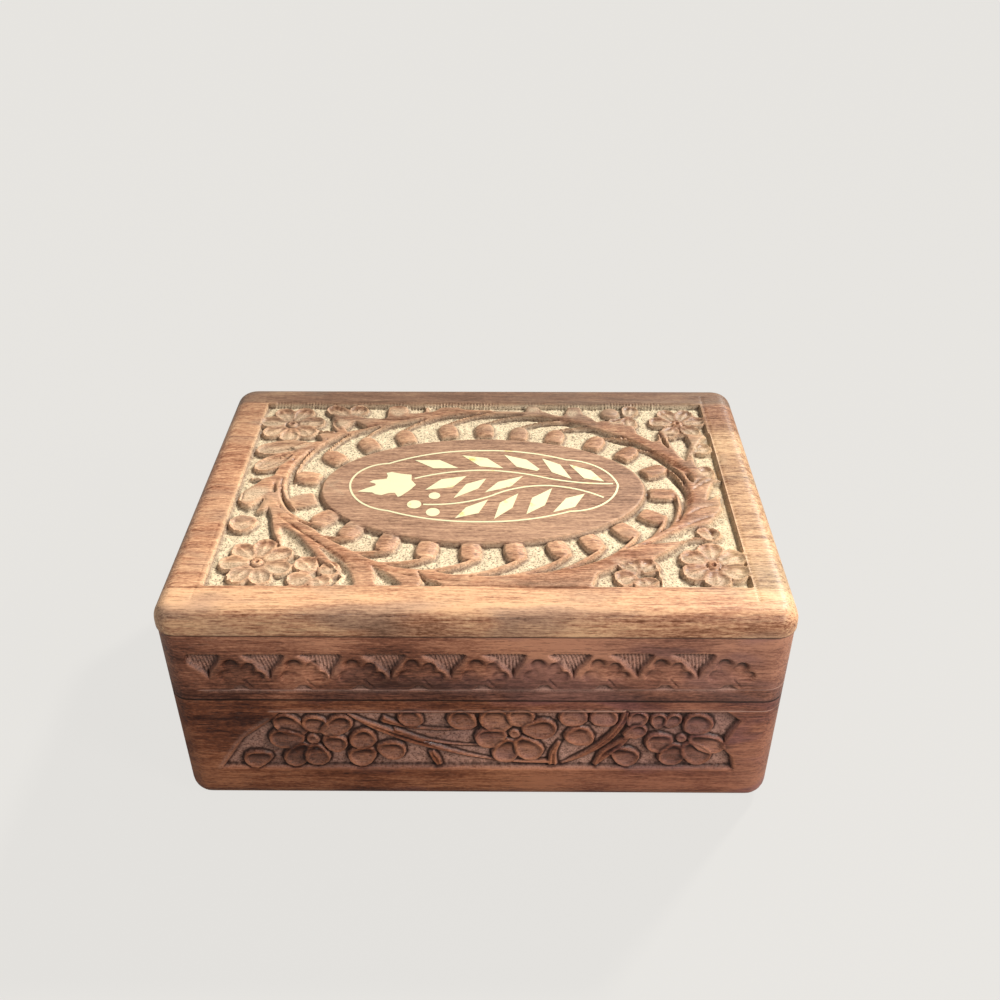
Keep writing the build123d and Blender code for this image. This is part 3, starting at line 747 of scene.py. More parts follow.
def petal(relief, base, tip, width,
          dish=1.2, level=-0.05, crease=0.4, polish=0.25, lower=-0.5, pale=0.5):
    """A gouged lobe, widest near its tip, with a thin rim left round the gouge."""
    length, local = frame_of(base, tip)

    def top(u, v, within):
        a, s = local(u, v)
        deep = ease((within - 0.05) / (0.24 * width))
        ridge = crease * np.exp(-(s / 0.4) ** 2) * deep
        gouged = level - dish * deep * (0.45 + 0.55 * a / length)
        return gouged + ridge - 0.8 * np.clip(1 - a / (0.4 * length), 0, 1)

    edge = outline(placed(base, tip, width, lobe))
    leave(relief, edge, top, 0.45)
    window, within = inside(relief, edge)
    # painted shade in the upper half of the gouge and painted highlight in its lower half
    paint_gouge_shading(relief, edge, window, ease((within - 0.2) / (0.15 * width)), polish, lower, pale)


print("petals are lobes of", len(lobe), "corners")

# %% Buttons, flowers and buds
def round_shape(u, v, radius):
    """The outline of a disc."""
    turns = np.linspace(0, 2 * pi, 20, endpoint=False)
    return np.stack([u + radius * np.cos(turns), v + radius * np.sin(turns)], 1)


def button(relief, u0, v0, radius, drilled=True, level=-0.35):
    """The heart of a flower: a small dome, with a drilled dimple."""
    window, within = inside(relief, round_shape(u0, v0, radius))
    out = np.hypot(relief.across[window] - u0, relief.up[window] - v0)
    dome = level - 0.6 * ease((out / radius - 0.5) / 0.5) - drilled * (1 - ease((out - 0.3) / 0.6))
    share = ease(within / 0.35)
    relief.height[window] = relief.height[window] * (1 - share) + dome * share
    relief.bare[window] *= 1 - share


def flower(relief, u, v, radius, turns, width=0.62, heart=2.2, stretch=()):
    """A ring of petals; turns are their directions, in degrees."""
    for k, turn in enumerate(turns):
        reach = radius * (stretch[k] if k < len(stretch) else 1)
        cu, cv = cos(radians(turn)), sin(radians(turn))
        start, end = 0.17 * radius, reach
        petal(relief, (u + cu * start, v + cv * start), (u + cu * end, v + cv * end), radius * width)
    button(relief, u, v, heart)


def bud(relief, u, v, radius, drop=0.25, level=-0.15):
    """A plain round boss, higher in its middle."""
    def top(a, b, within):
        return level - drop * (1 - ease(within / radius)) * radius * 0.5

    leave(relief, round_shape(u, v, radius), top, 0.6)


def at_turns(start, count):
    """Evenly turned directions, in degrees."""
    return [start + k * 360 / count for k in range(count)]


print("a flower of six petals turns through", at_turns(90, 6))

# %% [markdown]
# ### Beads and scoops
# A bead is a stubby tab with a ridge along it, one facet nearly flat and the other falling away.
# A scoop is the opposite of a petal: a lobe gouged straight out of the board.

# %% Beads and scoops
tab = [
    (0, -0.40), (0.3, -0.48), (0.7, -0.48), (0.92, -0.34), (1, -0.05), (0.98, 0.20), (0.85, 0.42),
    (0.55, 0.5), (0.2, 0.48), (0, 0.40),
]


def bead(relief, base, tip, width, level=-0.1):
    """A stubby tab with a ridge along it, one facet flat and the other falling away."""
    length, local = frame_of(base, tip)

    def top(u, v, within):
        a, s = local(u, v)
        ridge = 0.06 * width
        return level - 0.06 * np.abs(s - ridge) - 0.20 * np.clip(s - ridge, 0, 9)

    leave(relief, outline(placed(base, tip, width, tab)), top, 0.55)


def scoop(relief, base, tip, width, depth=0.9):
    """Gouge a lobe out of what stands: steep at its tip, running out at its base."""
    length, local = frame_of(base, tip)
    edge = outline(placed(base, tip, width, lobe), 0.8)
    window, within = inside(relief, edge)
    a, s = local(relief.across[window], relief.up[window])
    cut = ease(within / (0.3 * width)) * np.clip(0.25 + 0.9 * a / length, 0, 1)
    relief.height[window] -= depth * cut
    # painted shade in the upper half of the scoop and painted highlight in its lower half
    paint_gouge_shading(relief, edge, window, ease((within - 0.3) / 1.2), 0.5, -0.6, 0.0)


print("beads are tabs of", len(tab), "corners")

# %% [markdown]
# ## The lid's pattern
# The pattern on the lid is a wreath round a plain oval. Beads stand in a ring against the oval,
# and each has a tail that sweeps clockwise and outwards until it runs into the band outside.
# The corners have a flower each, with petals, leaves and long gouge marks filling what is left.
# Every mark is set out one by one, so nothing repeats exactly; that is what makes it look carved.

# %% The lid's raster and the places on it
polished = 0.10               # how bare the rubbed face of the lid still is
lid_relief = Relief(-83, 83, -57.5, 57.5, bare=1.0, left_bare=polished)
panel = (-76.9, 77.3, -50.2, 51.2)                    # left, right, front, back of the carving
lid_relief.bare[lid_relief.near(np.array([panel[::2], panel[1::2]]), 0)] = lid_relief.left_bare
wreath_edge = [
    (-64.3, 5), (-62.5, 13), (-59.5, 19.5), (-54.5, 26), (-47, 30.5), (-39.5, 34), (-30, 38), (-21, 41),
    (-10, 44.3), (0, 46), (10, 45.3), (22, 42.8), (33, 38.3), (42, 33), (50, 28), (57, 20.5), (62.5, 12),
    (65.8, 2), (66, -8), (62.5, -17), (56, -23.5), (47, -30.5), (36, -38), (22, -44), (10, -46.3),
    (-2, -46.2), (-14, -43.2), (-24, -41.5), (-32, -37.5), (-37, -34), (-45, -28), (-50, -23), (-56, -18.5),
    (-62.5, -11), (-66, -2),
]
beads = [
    (-48, -18), (-39, -24.3), (-27.5, -30.5), (-15.5, -34), (-2.2, -35), (10.8, -34.8), (24, -33.5),
    (34, -30.3), (44.2, -24.5), (53.5, -16.8), (58, -4.3), (57, 9.3), (49, 20.3), (38.5, 26.7),
    (25, 30.8), (13, 32.5), (1, 35), (-11.5, 34.5), (-25.8, 30.5), (-38, 25.8), (-49, 17.5), (-56, 5.3),
    (-56, -8),
]
print("wreath of", len(beads), "beads")

# %% [markdown]
# ### Walking round the oval
# A bead's tail follows the oval, so places are counted in mm along the oval's edge. `on_ring`
# goes so far round it and so far out from it.

# %% Places round the oval


def oval_point(turn):
    """A point on the oval's edge, and the direction outwards there."""
    place = Vector((oval_half[0] * cos(turn), oval_half[1] * sin(turn)))
    out = Vector((place.x / oval_half[0] ** 2, place.y / oval_half[1] ** 2))
    out.normalize()
    return Vector(oval_middle) + place, out


turns = np.linspace(0, -2 * pi, 721)
edge = np.array([tuple(oval_point(turn)[0]) for turn in turns])
run = np.concatenate([[0], np.cumsum(np.hypot(*np.diff(edge, axis=0).T))])


def on_ring(clockwise, outwards):
    """A point so far round the oval's edge and so far out from it, in mm."""
    place, out = oval_point(np.interp(clockwise % run[-1], run, turns))
    return tuple(place + out * outwards)


print("once round the oval is", round(float(run[-1]), 1), "mm")

# %% [markdown]
# ### The wreath
# First the ground is sunk inside the wreath's edge, and the oval is left standing in it. Then
# each bead gets its tail and its tab. The tails behind the oval are a little thinner than those
# in front of it.

# %% Carve the wreath
tail_steps = (                # (mm round the oval from the bead, share of the way out)
    (-3.6, -0.22), (-0.6, 0.06), (3.6, 0.38), (8, 0.64), (13, 0.85), (18.5, 1.0), (24, 1.1))
front_widths = [0.8, 2.2, 2.3, 2.2, 2.5, 3.4, 4.8]      # mm, along a tail
back_widths = [0.6, 1.4, 1.5, 1.7, 2.2, 3.0, 4.4]
bead_width = 7.3

sink(lid_relief, [tuple(p) for p in curve(wreath_edge + wreath_edge[:1])[:-1]], wall=1.0)
ellipse = [(oval_middle[0] + oval_half[0] * cos(t), oval_middle[1] + oval_half[1] * sin(t))
           for t in np.linspace(0, 2 * pi, 72, endpoint=False)]
lid_relief.left_bare = 0.0    # the oval is the best rubbed part
leave(lid_relief, np.array(ellipse), lambda u, v, within: 0 * u - 0.08, wall=0.8)
lid_relief.left_bare = polished
for place in beads:
    nearest = np.hypot(edge[:, 0] - place[0], edge[:, 1] - place[1])
    start, reach = run[nearest.argmin()], nearest.min()
    path = []
    for along, share in tail_steps:
        y = on_ring(start + along, 0)[1] - oval_middle[1]
        spread = 13.6 + (4.2 if y > 0 else 2.0) * abs(y) / oval_half[1]
        path.append(on_ring(start + along, reach + 3.0 + (spread - reach - 3.0) * share))
    tail(lid_relief, path, front_widths if place[1] < 0 else back_widths)
    bead(lid_relief, on_ring(start, reach - 5.2), on_ring(start - 0.5, reach + 3.7), bead_width)
print("carved", len(beads), "beads with their tails")

# %% [markdown]
# ### The corners' ground
# Round the wreath runs a band that stays at the face. What lies outside it is sunk cell by cell,
# each with its own outline and a wall as steep as the gouge left it. Along the back edge the
# ground ends in a row of teeth, where the gouge was pushed in again and again.

# %% Sink the ground of the corners and sides
left, right, front, back = panel
cells = [
    # (corners, wall)
    ([(left, back), (-73.8, back), (-73.8, front), (left, front)], 0.7),
    ([(left, back), (-54.5, back), (-52.3, 44), (-51.5, 36), (-49.3, 31.4), (-56, 30.6), (-53.5, 26.2),
      (-60, 24.8), (-63.5, 22), (-61, 19.5), (-66, 16.5), (-62.2, 17.5), (-65.5, 10.5), (-66.5, 5),
      (-69, 3.5), (left, 5)], 0.9),
    ([(-56, back), (-33.4, back), (-33.4, 41.2), (-40, 41.6), (-45, 43), (-53, 45)], 0.8),
    ([(-47.8, 35.2, .3), (-43.8, 39.6), (-39.2, 34.8, -.3), (-46, 32.2)], 0.8),
    ([(-27, back), (-20.5, back), (-20.3, 45.3), (-27, 44.4)], 0.7),
    ([(-19.3, 50.6), (-12.5, back), (-15, 48.5), (-17.3, 46), (-19.5, 45)], 0.9),
    ([(-12.5, back), (15.4, back), (15.2, 45.9), (4, 46.6), (-7, 47.6)], 1.2),
    ([(18.5, back), (30.5, back), (28.4, 43.3, .3), (25, 43.6), (20.3, 47)], 0.8),
    ([(33.8, back), (77, back), (77, 30), (70, 31), (60.5, 33.5), (59.5, 27, .4), (57.3, 26.3), (52.8, 31),
      (52, 36), (49, 37.5), (44, 39.5), (41.5, 40), (39.5, 38.8, -.5), (35, 44.2)], 0.9),
    ([(62.3, 31), (69.3, 31), (70.3, 25), (67.3, 13.8), (64.8, 18, -.3), (63, 24)], 1.0),
    ([(60.2, 33.5), (62, 27), (62.8, 20.8), (60.8, 25, .2)], 0.7),
    ([(right, 32), (right, 3), (73.5, 4, .5), (70, 11.5, .3), (69.7, 19.5), (72.5, 25, .4)], 0.9),
    ([(right, 6), (right, front), (74.6, front), (74.6, -8), (75.6, 0)], 0.6),
    ([(70.4, -8.8), (right, -3), (right, 3.4), (74, 2, .4)], 1.2),
    ([(65.4, 8.3), (66.6, 3, .2), (68.4, 1.3), (67.2, 7.5)], 0.8),
    ([(49, -31), (56.5, -25.3), (62.5, -21.7), (69.2, -20), (75, -12), (right, -12), (right, -30),
      (70, -28.5), (64, -27, .6), (57, -29.6)], 1.6),
    ([(50.5, -37.5), (55, -34), (62, -28), (right, -26), (right, front), (52.3, front), (52, -44)], 1.0),
    ([(32.3, front), (34.4, -44), (38.6, -42, .5), (45, -38), (50.5, -37.5), (53, front)], 0.9),
    ([(left, 5), (-69.2, 3.6), (-74.6, -6), (left, -7)], 0.8),
    ([(-75.5, -9.5), (-71, -12), (-68.2, -8), (-66.8, -6.5), (-68.3, -14), (-66, -13.8), (-65, -12.2),
      (-63, -17, -.2), (-60.7, -26), (-59.4, -29), (-57, -33), (-52.5, -35), (-51.5, -39), (-54, front),
      (left, front), (left, -12)], 0.9),
    ([(-59.8, -21.8), (-55.5, -24, .3), (-50, -31, .2), (-45.6, -38), (-50, -37.3), (-54.5, -35.5),
      (-57.8, -33.5), (-58.6, -29)], 2.6),
    ([(-48, -30.6), (-43.5, -33.6, .5), (-36.8, -41.5, .4), (-33.8, front), (-40, front), (-38.6, -45.5),
      (-41.3, -41), (-44.6, -36)], 2.4),
    ([(-55, -35), (-47, -37.5), (-41.5, -41), (-38, -45.5), (-40, front), (-55, front)], 0.8),
    ([(-30.8, -40.2), (-26, -43.7, .4), (-20.3, front), (-28.5, front), (-29.2, -45)], 2.2),
    ([(-17.8, -42.2), (-14, -46.7, .2), (-8.5, front), (-16.6, front), (-15.2, -48)], 1.1),
]
for corners, wall in cells:
    sink(lid_relief, corners, wall)
back_edge = [(-74, 48.9), (-30, 48.6), (20, 48.9), (74, 48.6), (74, back + 0.5), (-74, back + 0.5)]
sink(lid_relief, back_edge, 1.4, 1.2)
hatch(lid_relief, [(-74, 49.6), (74, 49.6), (74, 52.6), (-74, 52.6)], 1.1, 0.1, 0.5)
print("ground cells:", len(cells))

# %% [markdown]
# ### Flowers and leaves
# They stand in the ground just sunk. Each corner has a flower with its petals turned one by one,
# and loose petals fill what is left.

# %% Leave the flowers and leaves standing
flower(lid_relief, -66, 38, 11.8, [66, 8, 318, 272, 222, 170, 118], 0.66)
flower(lid_relief, -63.5, -39, 11.3, at_turns(82, 7), 0.66)
flower(lid_relief, 68, -39.8, 10.8, at_turns(90, 6), width=0.80)
flower(lid_relief, 67.3, 38.8, 10.4, [172, 118, 62, 12, 308, 242], width=0.68)
petals = [
    # (base, tip, width): top left
    ((-46.3, 42.2), (-55, 50.2), 7.4), ((-45.2, 43), (-43, 51), 7.8), ((-46, 41.5), (-50.5, 35), 6.4),
    ((-29.5, 41.5), (-30.2, 51), 8.0), ((-55.5, 25.0), (-75.8, 20.6), 9.2), ((-60.5, 19), (-74, 9.2), 8.6),
    # left and bottom left
    ((-66.8, 2), (-73.8, -10.4), 8.6), ((-67.5, -17.4), (-75, -22.8), 9.2),
    ((-46.5, -43.5), (-51.6, -37), 7.8), ((-45.8, -43), (-38.8, -41.6), 7.6),
    ((-47, -44.5), (-53.2, -49.4), 8.2), ((-46, -45.5), (-42.2, -50.2), 7.4),
    # bottom right
    ((46.5, -43.2), (41.8, -36.8), 8.0), ((46.7, -43), (51.8, -38.2), 7.0),
    ((45.8, -44.4), (38.8, -47.2), 8.0),
    ((46.8, -45), (48.8, -50.4), 8.0),
    # right and top right
    ((65.5, -22), (72, -27.4), 7.4), ((69.4, 22), (77, 23), 7.6), ((69.0, 7.6), (76, 8.6), 8.4),
    ((50.5, 43), (52.6, 51), 6.8), ((50.6, 44), (50.2, 35.4), 7.0), ((48.8, 42), (44, 37.6), 6.2),
    ((31, 41.5), (31.5, 49.4), 5.4), ((16.5, 45), (18.5, 50.7), 5.6),
]
for base, tip, width in petals:
    petal(lid_relief, base, tip, width)
bud(lid_relief, 44.6, 46, 3.7)
tail(lid_relief, [(-46, 42.5), (-40, 41.2), (-33, 40.3)], [1.2, 1.5, 2.5])
tail(lid_relief, [(-62, 36), (-55, 33.5), (-50, 32)], [1.0, 1.2, 2.0])
print("petals:", len(petals))

# %% [markdown]
# ### Gouge marks
# Long V-shaped cuts run over the band that was left standing and give it its flow. Where the
# ground was hard to reach, it is still ribbed by the gouge; a hatch does that.

# %% Cut the long gouge marks and hatch the ground
marks = [
    # (path, widths, depth): right of the wreath, from the back
    ([(52, 23.5), (58, 18.5), (63, 12), (67, 7.5), (68.2, 2)], [0.8, 3.0, 4.0, 2.6, 0.6], 1.0),
    ([(59.5, 9.5), (63, 3), (64.8, -3), (64.8, -9), (62.8, -15)], [0.8, 3.4, 3.4, 2.4, 0.6], 1.0),
    ([(41, 31), (46, 27.8), (55, 25.2)], [0.6, 2.4, 0.8], 0.8),
    ([(25, 35), (31, 37), (36, 36)], [0.6, 2.4, 0.8], 0.8),
    ([(14, 42.4), (23, 41.8), (31, 39.2), (36.5, 36.8)], [0.8, 2.6, 3.2, 0.8], 0.8),
    ([(15.5, 36.0), (22, 39.2), (29, 39.2)], [0.6, 1.4, 0.6], 0.6),
    ([(70.3, 24.5), (69.2, 19), (67.8, 14)], [0.6, 1.4, 0.6], 0.7),
    # front right
    ([(76.5, -14.5), (69, -17.5), (61.5, -22), (54, -27.8), (45, -33)], [0.6, 1.2, 1.2, 1.2, 0.6], 0.5),
    ([(76, -10), (68, -12.5), (62, -18)], [0.6, 1.2, 0.6], 0.5),
    ([(75, 4), (70, 0.5), (66.8, -3)], [0.8, 1.4, 0.6], 0.7),
    ([(72, 4.5), (69.5, 3), (68, 0)], [0.6, 1.4, 0.6], 0.7),
    ([(36, -35.5), (28, -40.5), (18, -44.5)], [0.8, 1.8, 0.8], 0.6),
    ([(68.2, -20.5), (69.8, -24), (70, -27.5)], [0.8, 2.4, 1.0], 0.9),
    # front left
    ([(-62.8, -15), (-56, -22), (-48, -29.5), (-40, -37), (-35, -43.5)], [0.6, 1.2, 1.2, 1.2, 0.6], 0.6),
    ([(-53, -22.5), (-45, -27.5), (-36, -30)], [0.6, 1.4, 0.6], 0.5),
    ([(-45, -32.5), (-36, -34.8), (-26, -35.5)], [0.6, 1.4, 0.6], 0.5),
    ([(-29, -42), (-20, -45.2), (-8, -47.6), (3, -48.2)], [0.6, 1.3, 1.3, 0.6], 0.5),
    ([(-10, -50.1), (6, -50.4), (20, -50.6), (33, -50.8)], [0.5, 0.8, 0.8, 0.5], 0.8),
    # left and back left
    ([(-66.3, -7.5), (-67.5, -11.5), (-68, -16)], [0.8, 2.2, 0.6], 0.8),
    ([(-57, 24.5), (-64, 22.6), (-72, 19.5)], [0.6, 1.4, 0.8], 0.6),
    ([(-62, 18), (-66.5, 14), (-72, 10)], [0.6, 1.3, 0.8], 0.6),
    ([(-52, 43), (-51, 37.5), (-48, 33)], [0.8, 2.4, 0.8], 1.0),
    ([(-44, 42.2), (-37, 40.8), (-30, 40.2), (-20, 42.5)], [0.6, 1.4, 1.6, 0.6], 0.7),
    ([(-48, 31.5), (-41, 34.5), (-33, 38.2)], [0.8, 1.6, 0.6], 0.7),
    ([(-18, 46.5), (-10, 46.6), (-2, 47.4)], [0.6, 1.6, 0.6], 0.6),
]
for path, widths, depth in marks:
    groove(lid_relief, path, widths, depth)
hatched = [
    # (corners, spacing, lean)
    ([(3, 45), (16, 45), (16, 51), (3, 51)], 1.1, 0.1),
    ([(19, 44), (30, 44), (30, 51), (19, 51)], 1.2, 0.25),
    ([(34, 43), (40, 43), (41, 51), (34, 51)], 1.3, 0.2),
    ([(-26, 44), (-20.5, 44), (-20.5, 51), (-26, 51)], 1.2, 0),
    ([(51, -37), (66, -27), (72, -27), (55, -42)], 1.2, 0.4),
    ([(-56, 51), (-40, 51), (-40, 45), (-56, 48)], 1.4, 0.2),
    ([(-76.9, 51), (-73.8, 51), (-73.8, 46), (-76.9, 46)], 1.2, 0.4),
    ([(54, 51), (60, 51), (60, 45), (54, 45)], 1.2, 0.3),
]
for corners, spacing, turn in hatched:
    hatch(lid_relief, corners, spacing, turn)
print("gouge marks:", len(marks), "hatched cells:", len(hatched))

# %% [markdown]
# ### Scribed lines
# The carver first scribed the border of the panel, and the lines still run out to the edges of
# the board. Two scratches on the oval have come since.

# %% Scribe the border lines and scratch the oval
borders = (
    [(-82, -51.2), (82, -50.9)], [(-82, 52.1), (82, 51.9)],
    [(-77.9, -57), (-77.7, 57)], [(78.2, -57), (78.1, 57)])
scratches = [(-51, -5), (-44.5, 2.8)], [(-49.5, 2.2), (-42.5, -6.0)]
for path in borders:
    scribe(lid_relief, path, 0.7, 0.35)
for path in scratches:
    scribe(lid_relief, path, 0.5, 0.08, 0.6)
print("deepest cut", round(float(lid_relief.height.min()), 2), "mm")

# %% [markdown]
# ## The strips and bands on the sides
# The lid's rails carry a strip of half flowers: V-shaped cells are sunk between them, and each
# flower is a fan of gouge cuts over a small notch. The ground here has been rubbed and oiled with
# the rest, so less of it is bare. Heights are in mm above the table, as on the finished box.

# %% The lid rail's strip
strip_foot, strip_top = 50.4, 60.6
scribed_height = 47.0
cell_places = [-75.5, -58, -41, -24, -7, 10.5, 27.5, 45.5, 62.5]
fan = [((-6.8, 3.2), 5.6, 1.0), ((-3.2, 9.0), 6.6, 1.3), ((3.6, 7.6), 5.6, 1.3), ((7.2, 3.0), 4.6, 1.0)]


def carve_strip(relief, places, rise):
    """Cut the strip's cells at the places given; rise is how much it climbs per mm."""
    for k, u in enumerate(places):
        foot, top = strip_foot + rise * u, strip_top + rise * u
        lean = 0.7 * sin(2.3 * k)
        cell = [(u, foot + 0.9), (u + 1.3, foot + 4.4, .4), (u + 4.6 + lean, top),
                (u - 8.4 + lean, top), (u - 3.4, foot + 5.0, -.4)]
        sink(relief, cell, 0.7, 1.2)
        ribbed = [(u, foot + 2), (u + 4.6 + lean, top + 0.8), (u - 8 + lean, top + 0.8)]
        hatch(relief, ribbed, 1.0, 0.2 + 0.2 * lean, 0.5)
        # a painted highlight along the cell's left wall, which faces the light; it cuts no depth
        highlit_left_wall = [(u - 8.2 + lean, top - 0.2), (u - 4.8, top - 2.8), (u - 1.6, foot + 4.6)]
        scribe(relief, highlit_left_wall, 0.8, 0.0, 1.0, 0.9)
    for k, (u, following) in enumerate(zip(places, [*places[1:], places[-1] + 17])):
        middle = (u + following) / 2 + 0.3 + 0.5 * sin(1.7 * k)
        foot = strip_foot + rise * middle
        if middle > relief.u[-1] - 9:
            continue
        for (du, dv), width, depth in fan:
            scoop(relief, (middle + 0.15 * du, foot + 0.4), (middle + du, foot + dv), width, depth)
        groove(relief, [(middle + 0.6, foot + 1), (middle + 3.4, foot - 2.4)], [1.0, 0.6], 0.6)
        sink(relief, [(middle - 3.6, foot - 3.4), (middle + 2.6, foot - 3.2), (middle + 0.6, foot - 1.2),
                      (middle - 1.6, foot - 1.4)], 0.6, 0.6)
    start, end = relief.u[0], relief.u[-1]
    line = [(start + 3, scribed_height + rise * start), (end - 6, scribed_height + rise * end)]
    scribe(relief, line, 0.7, 0.2, 0.8)


print("cells in the strip:", len(cell_places))

# %% [markdown]
# ### The tray wall's band
# The tray's walls carry a deeper band, where flowers, buds and leaves hang on a long stem. It is
# set out once, as lists of petals, stems and buds, and each wall takes the motifs that fit.

# %% What the band holds
band_petals = [
    # (base, tip, width): first flower
    ((-50.5, 28), (-59.2, 35.8), 7.6), ((-48.5, 28.5), (-46.4, 35.8), 8.0), ((-46, 28), (-36.8, 35), 7.0),
    ((-51, 26), (-62, 26.8), 7.8), ((-50.5, 24), (-57, 15.0), 7.2), ((-46, 26), (-38.6, 22.8), 6.8),
    ((-48.5, 24), (-47.6, 14.8), 7.6),
    # bud, three-lobed flower
    ((-61.5, 19.0), (-70.5, 16.6), 6.6), ((-30.5, 23.6), (-37.0, 28.6), 8.4),
    ((-30.5, 21.5), (-38.4, 16.4), 7.8),
    ((-30.2, 22.4), (-21.2, 20.4), 7.6),
    # second flower
    ((9.5, 30), (2.0, 38), 9.0), ((11.5, 31), (13.8, 39.2), 8.0), ((13, 29.6), (23.6, 31.0), 8.0),
    ((8.8, 28.2), (-0.8, 25.4), 8.0), ((10, 26), (7.0, 16.2), 7.8), ((12, 26.5), (18.2, 17.8), 8.0),
    # third flower
    ((31.6, 32.3), (25.0, 38.6), 8.4), ((33.4, 32.6), (40.2, 37.8), 8.4), ((31.4, 31.2), (29.0, 23.6), 9.0),
    # side lobes and leaf
    ((44.6, 31), (48.6, 37.4), 6.0), ((43, 27), (49.8, 31), 5.4), ((53, 30), (53, 36.8), 5.0),
    ((55.5, 30.5), (58.6, 36.4), 4.8), ((40, 21.4), (48.0, 16.2), 7.4),
    # fourth flower
    ((61.5, 28.5), (67.2, 36.0), 9.0), ((58, 26), (49.6, 23.4), 8.0), ((59.4, 24), (56.6, 15.0), 7.8),
    ((61.6, 24.4), (68.6, 16.0), 8.2), ((62.5, 26.5), (73.5, 22.0), 7.0),
]
band_stems = [
    # (path, widths)
    ([(-38, 36.6), (-31, 32), (-21, 26.8), (-10, 21.8), (1, 18), (12, 16.2), (22, 16.4)],
     [1.0, 2.8, 3.4, 2.0, 1.2, 1.2, 1.8]),
    ([(-28, 34.6), (-20, 31.2), (-11, 29.8), (-3, 30.2)], [2.8, 1.6, 1.0, 0.8]),
    ([(-25, 30), (-15, 25.6), (-6, 23.4), (2, 23)], [2.4, 1.4, 1.0, 0.8]),
    ([(-14, 21), (-12.4, 17.4), (-11.4, 14.6)], [2.2, 3.0, 2.0]),
    ([(43.6, 39), (42.4, 33), (38.6, 26), (32, 19.6), (25, 15)], [2.2, 2.8, 2.6, 2.0, 0.8]),
    ([(45.5, 28), (42, 24), (38, 20), (35, 14.5)], [1.5, 3.4, 4.0, 1.5]),
    ([(24.5, 25), (22.6, 20), (22.6, 14.6)], [1.4, 2.6, 3.2]),
]
band_buds = [                 # (u, v, radius)
    (-4.6, 34.4, 4.3), (-19.6, 35.2, 3.7), (-48.8, 26.0, 1.9), (10.9, 28.2, 1.7), (60.2, 26.2, 1.6),
]
# the band's petals get strong painted shade in their upper halves and painted highlight in their lower halves
band_cut = {"level": -0.05, "crease": 0.0, "polish": 0.85, "lower": -0.4, "pale": 0.3}
print("band:", len(band_petals), "petals,", len(band_stems), "stems,", len(band_buds), "buds")


# %% Carve a band
def carve_band(relief, shift, reach, rise):
    """Sink the band's ground as far as reach each side and leave the motifs that fit."""
    low, high = 13.6, 38.0
    climb = rise * reach
    sink(relief, [
        (-reach, low), (reach - 0.5, low + climb), (reach - 1.6, low + 6), (reach - 5, 24),
        (reach - 3, 30), (reach - 0.6, 35), (reach - 5, high + climb), (-reach + 20, high - climb),
        (-reach + 17.5, high - 3.5), (-reach + 8, high - 11.5)], 1.0)

    def moved(*points):
        return [(u + shift, v + rise * (u + shift)) for u, v in points]

    for path, widths in band_stems:
        path = [p for p in moved(*path) if abs(p[0]) < reach - 1]
        if len(path) > 1:
            tail(relief, path, widths, -0.15)
            groove(relief, path, [0.6 * w for w in widths], 1.0)
    for base, tip, width in band_petals:
        base, tip = moved(base, tip)
        if max(abs(base[0]), abs(tip[0])) < reach - 2:
            petal(relief, base, tip, 1.08 * width, 1.3, **band_cut)
    for u, v, radius in band_buds:
        (u, v), = moved((u, v))
        if abs(u) < reach - radius:
            base, tip = (u + 0.9 * radius, v - 0.9 * radius), (u - 0.7 * radius, v + 0.75 * radius)
            petal(relief, base, tip, 2 * radius, 1.1, **band_cut)
    start = -reach + 17
    scribe(relief, [(start, high + 0.8 + rise * start), (reach, high + 0.8 + rise * reach)], 0.7, 0.2, 0.8)
    scribe(relief, [(-reach - 0.5, low + 0.2), (start - 9, high - 10.5), (start, high - 2.5)], 0.9, 0.05, 0.8)


# %% [markdown]
# ### Carving the sides
# Four reliefs serve eight boards: the front's two are mirrored for the back, and one pair is
# used on both short sides. The front's pattern climbs a little to the right, as cut by hand.

# %% Carve the strips and bands
front_rise = 0.007            # mm per mm
front_strip = Relief(-81, 81, 45.5, 66, bare=0.65)
carve_strip(front_strip, cell_places, front_rise)
side_strip = Relief(-52, 52, 45.5, 66, bare=0.65)
carve_strip(side_strip, [u * 0.97 for u in (-41, -24, -7, 10.5, 27.5)], 0.0)
# the bands get strong painted shade round the foot of their motifs
front_band = Relief(-81, 81, 8, 41.5, bare=0.72, foot_shade=0.8)
carve_band(front_band, 0, 77.5, front_rise)
side_band = Relief(-52, 52, 8, 41.5, bare=0.72, foot_shade=0.8)
carve_band(side_band, 24, 48, 0.0)
for face in (front_strip, front_band, side_strip, side_band):
    print("carved", face.height.shape, "deepest", round(float(face.height.min()), 2))

# %% [markdown]
# ## Modelling helpers
# Every board starts as a cube at its size and place, and is then shaped like the real board:
# corners and edges are rounded with a bevel, and rebates and hinge seats are cut out with a
# boolean. Edges and faces are picked by where they are or which way they face.

# %% Blocks, picking, rounding and cutting
def alone(piece):
    """Make one piece the only one selected, outside edit mode."""
    if bpy.context.mode != "OBJECT":
        bpy.ops.object.mode_set(mode="OBJECT")
    bpy.ops.object.select_all(action="DESELECT")
    piece.select_set(True)
    bpy.context.view_layer.objects.active = piece


def block(name, low, high):
    """A box between two corners, in mm, with its place in its mesh."""
    low, high = Vector(low), Vector(high)
    bpy.ops.object.select_all(action="DESELECT")
    bpy.ops.mesh.primitive_cube_add(size=1, location=(low + high) / 2 * mm, scale=(high - low) * mm)
    piece = bpy.context.object
    piece.name = piece.data.name = name
    bpy.ops.object.transform_apply(location=True, rotation=True, scale=True)
    return piece


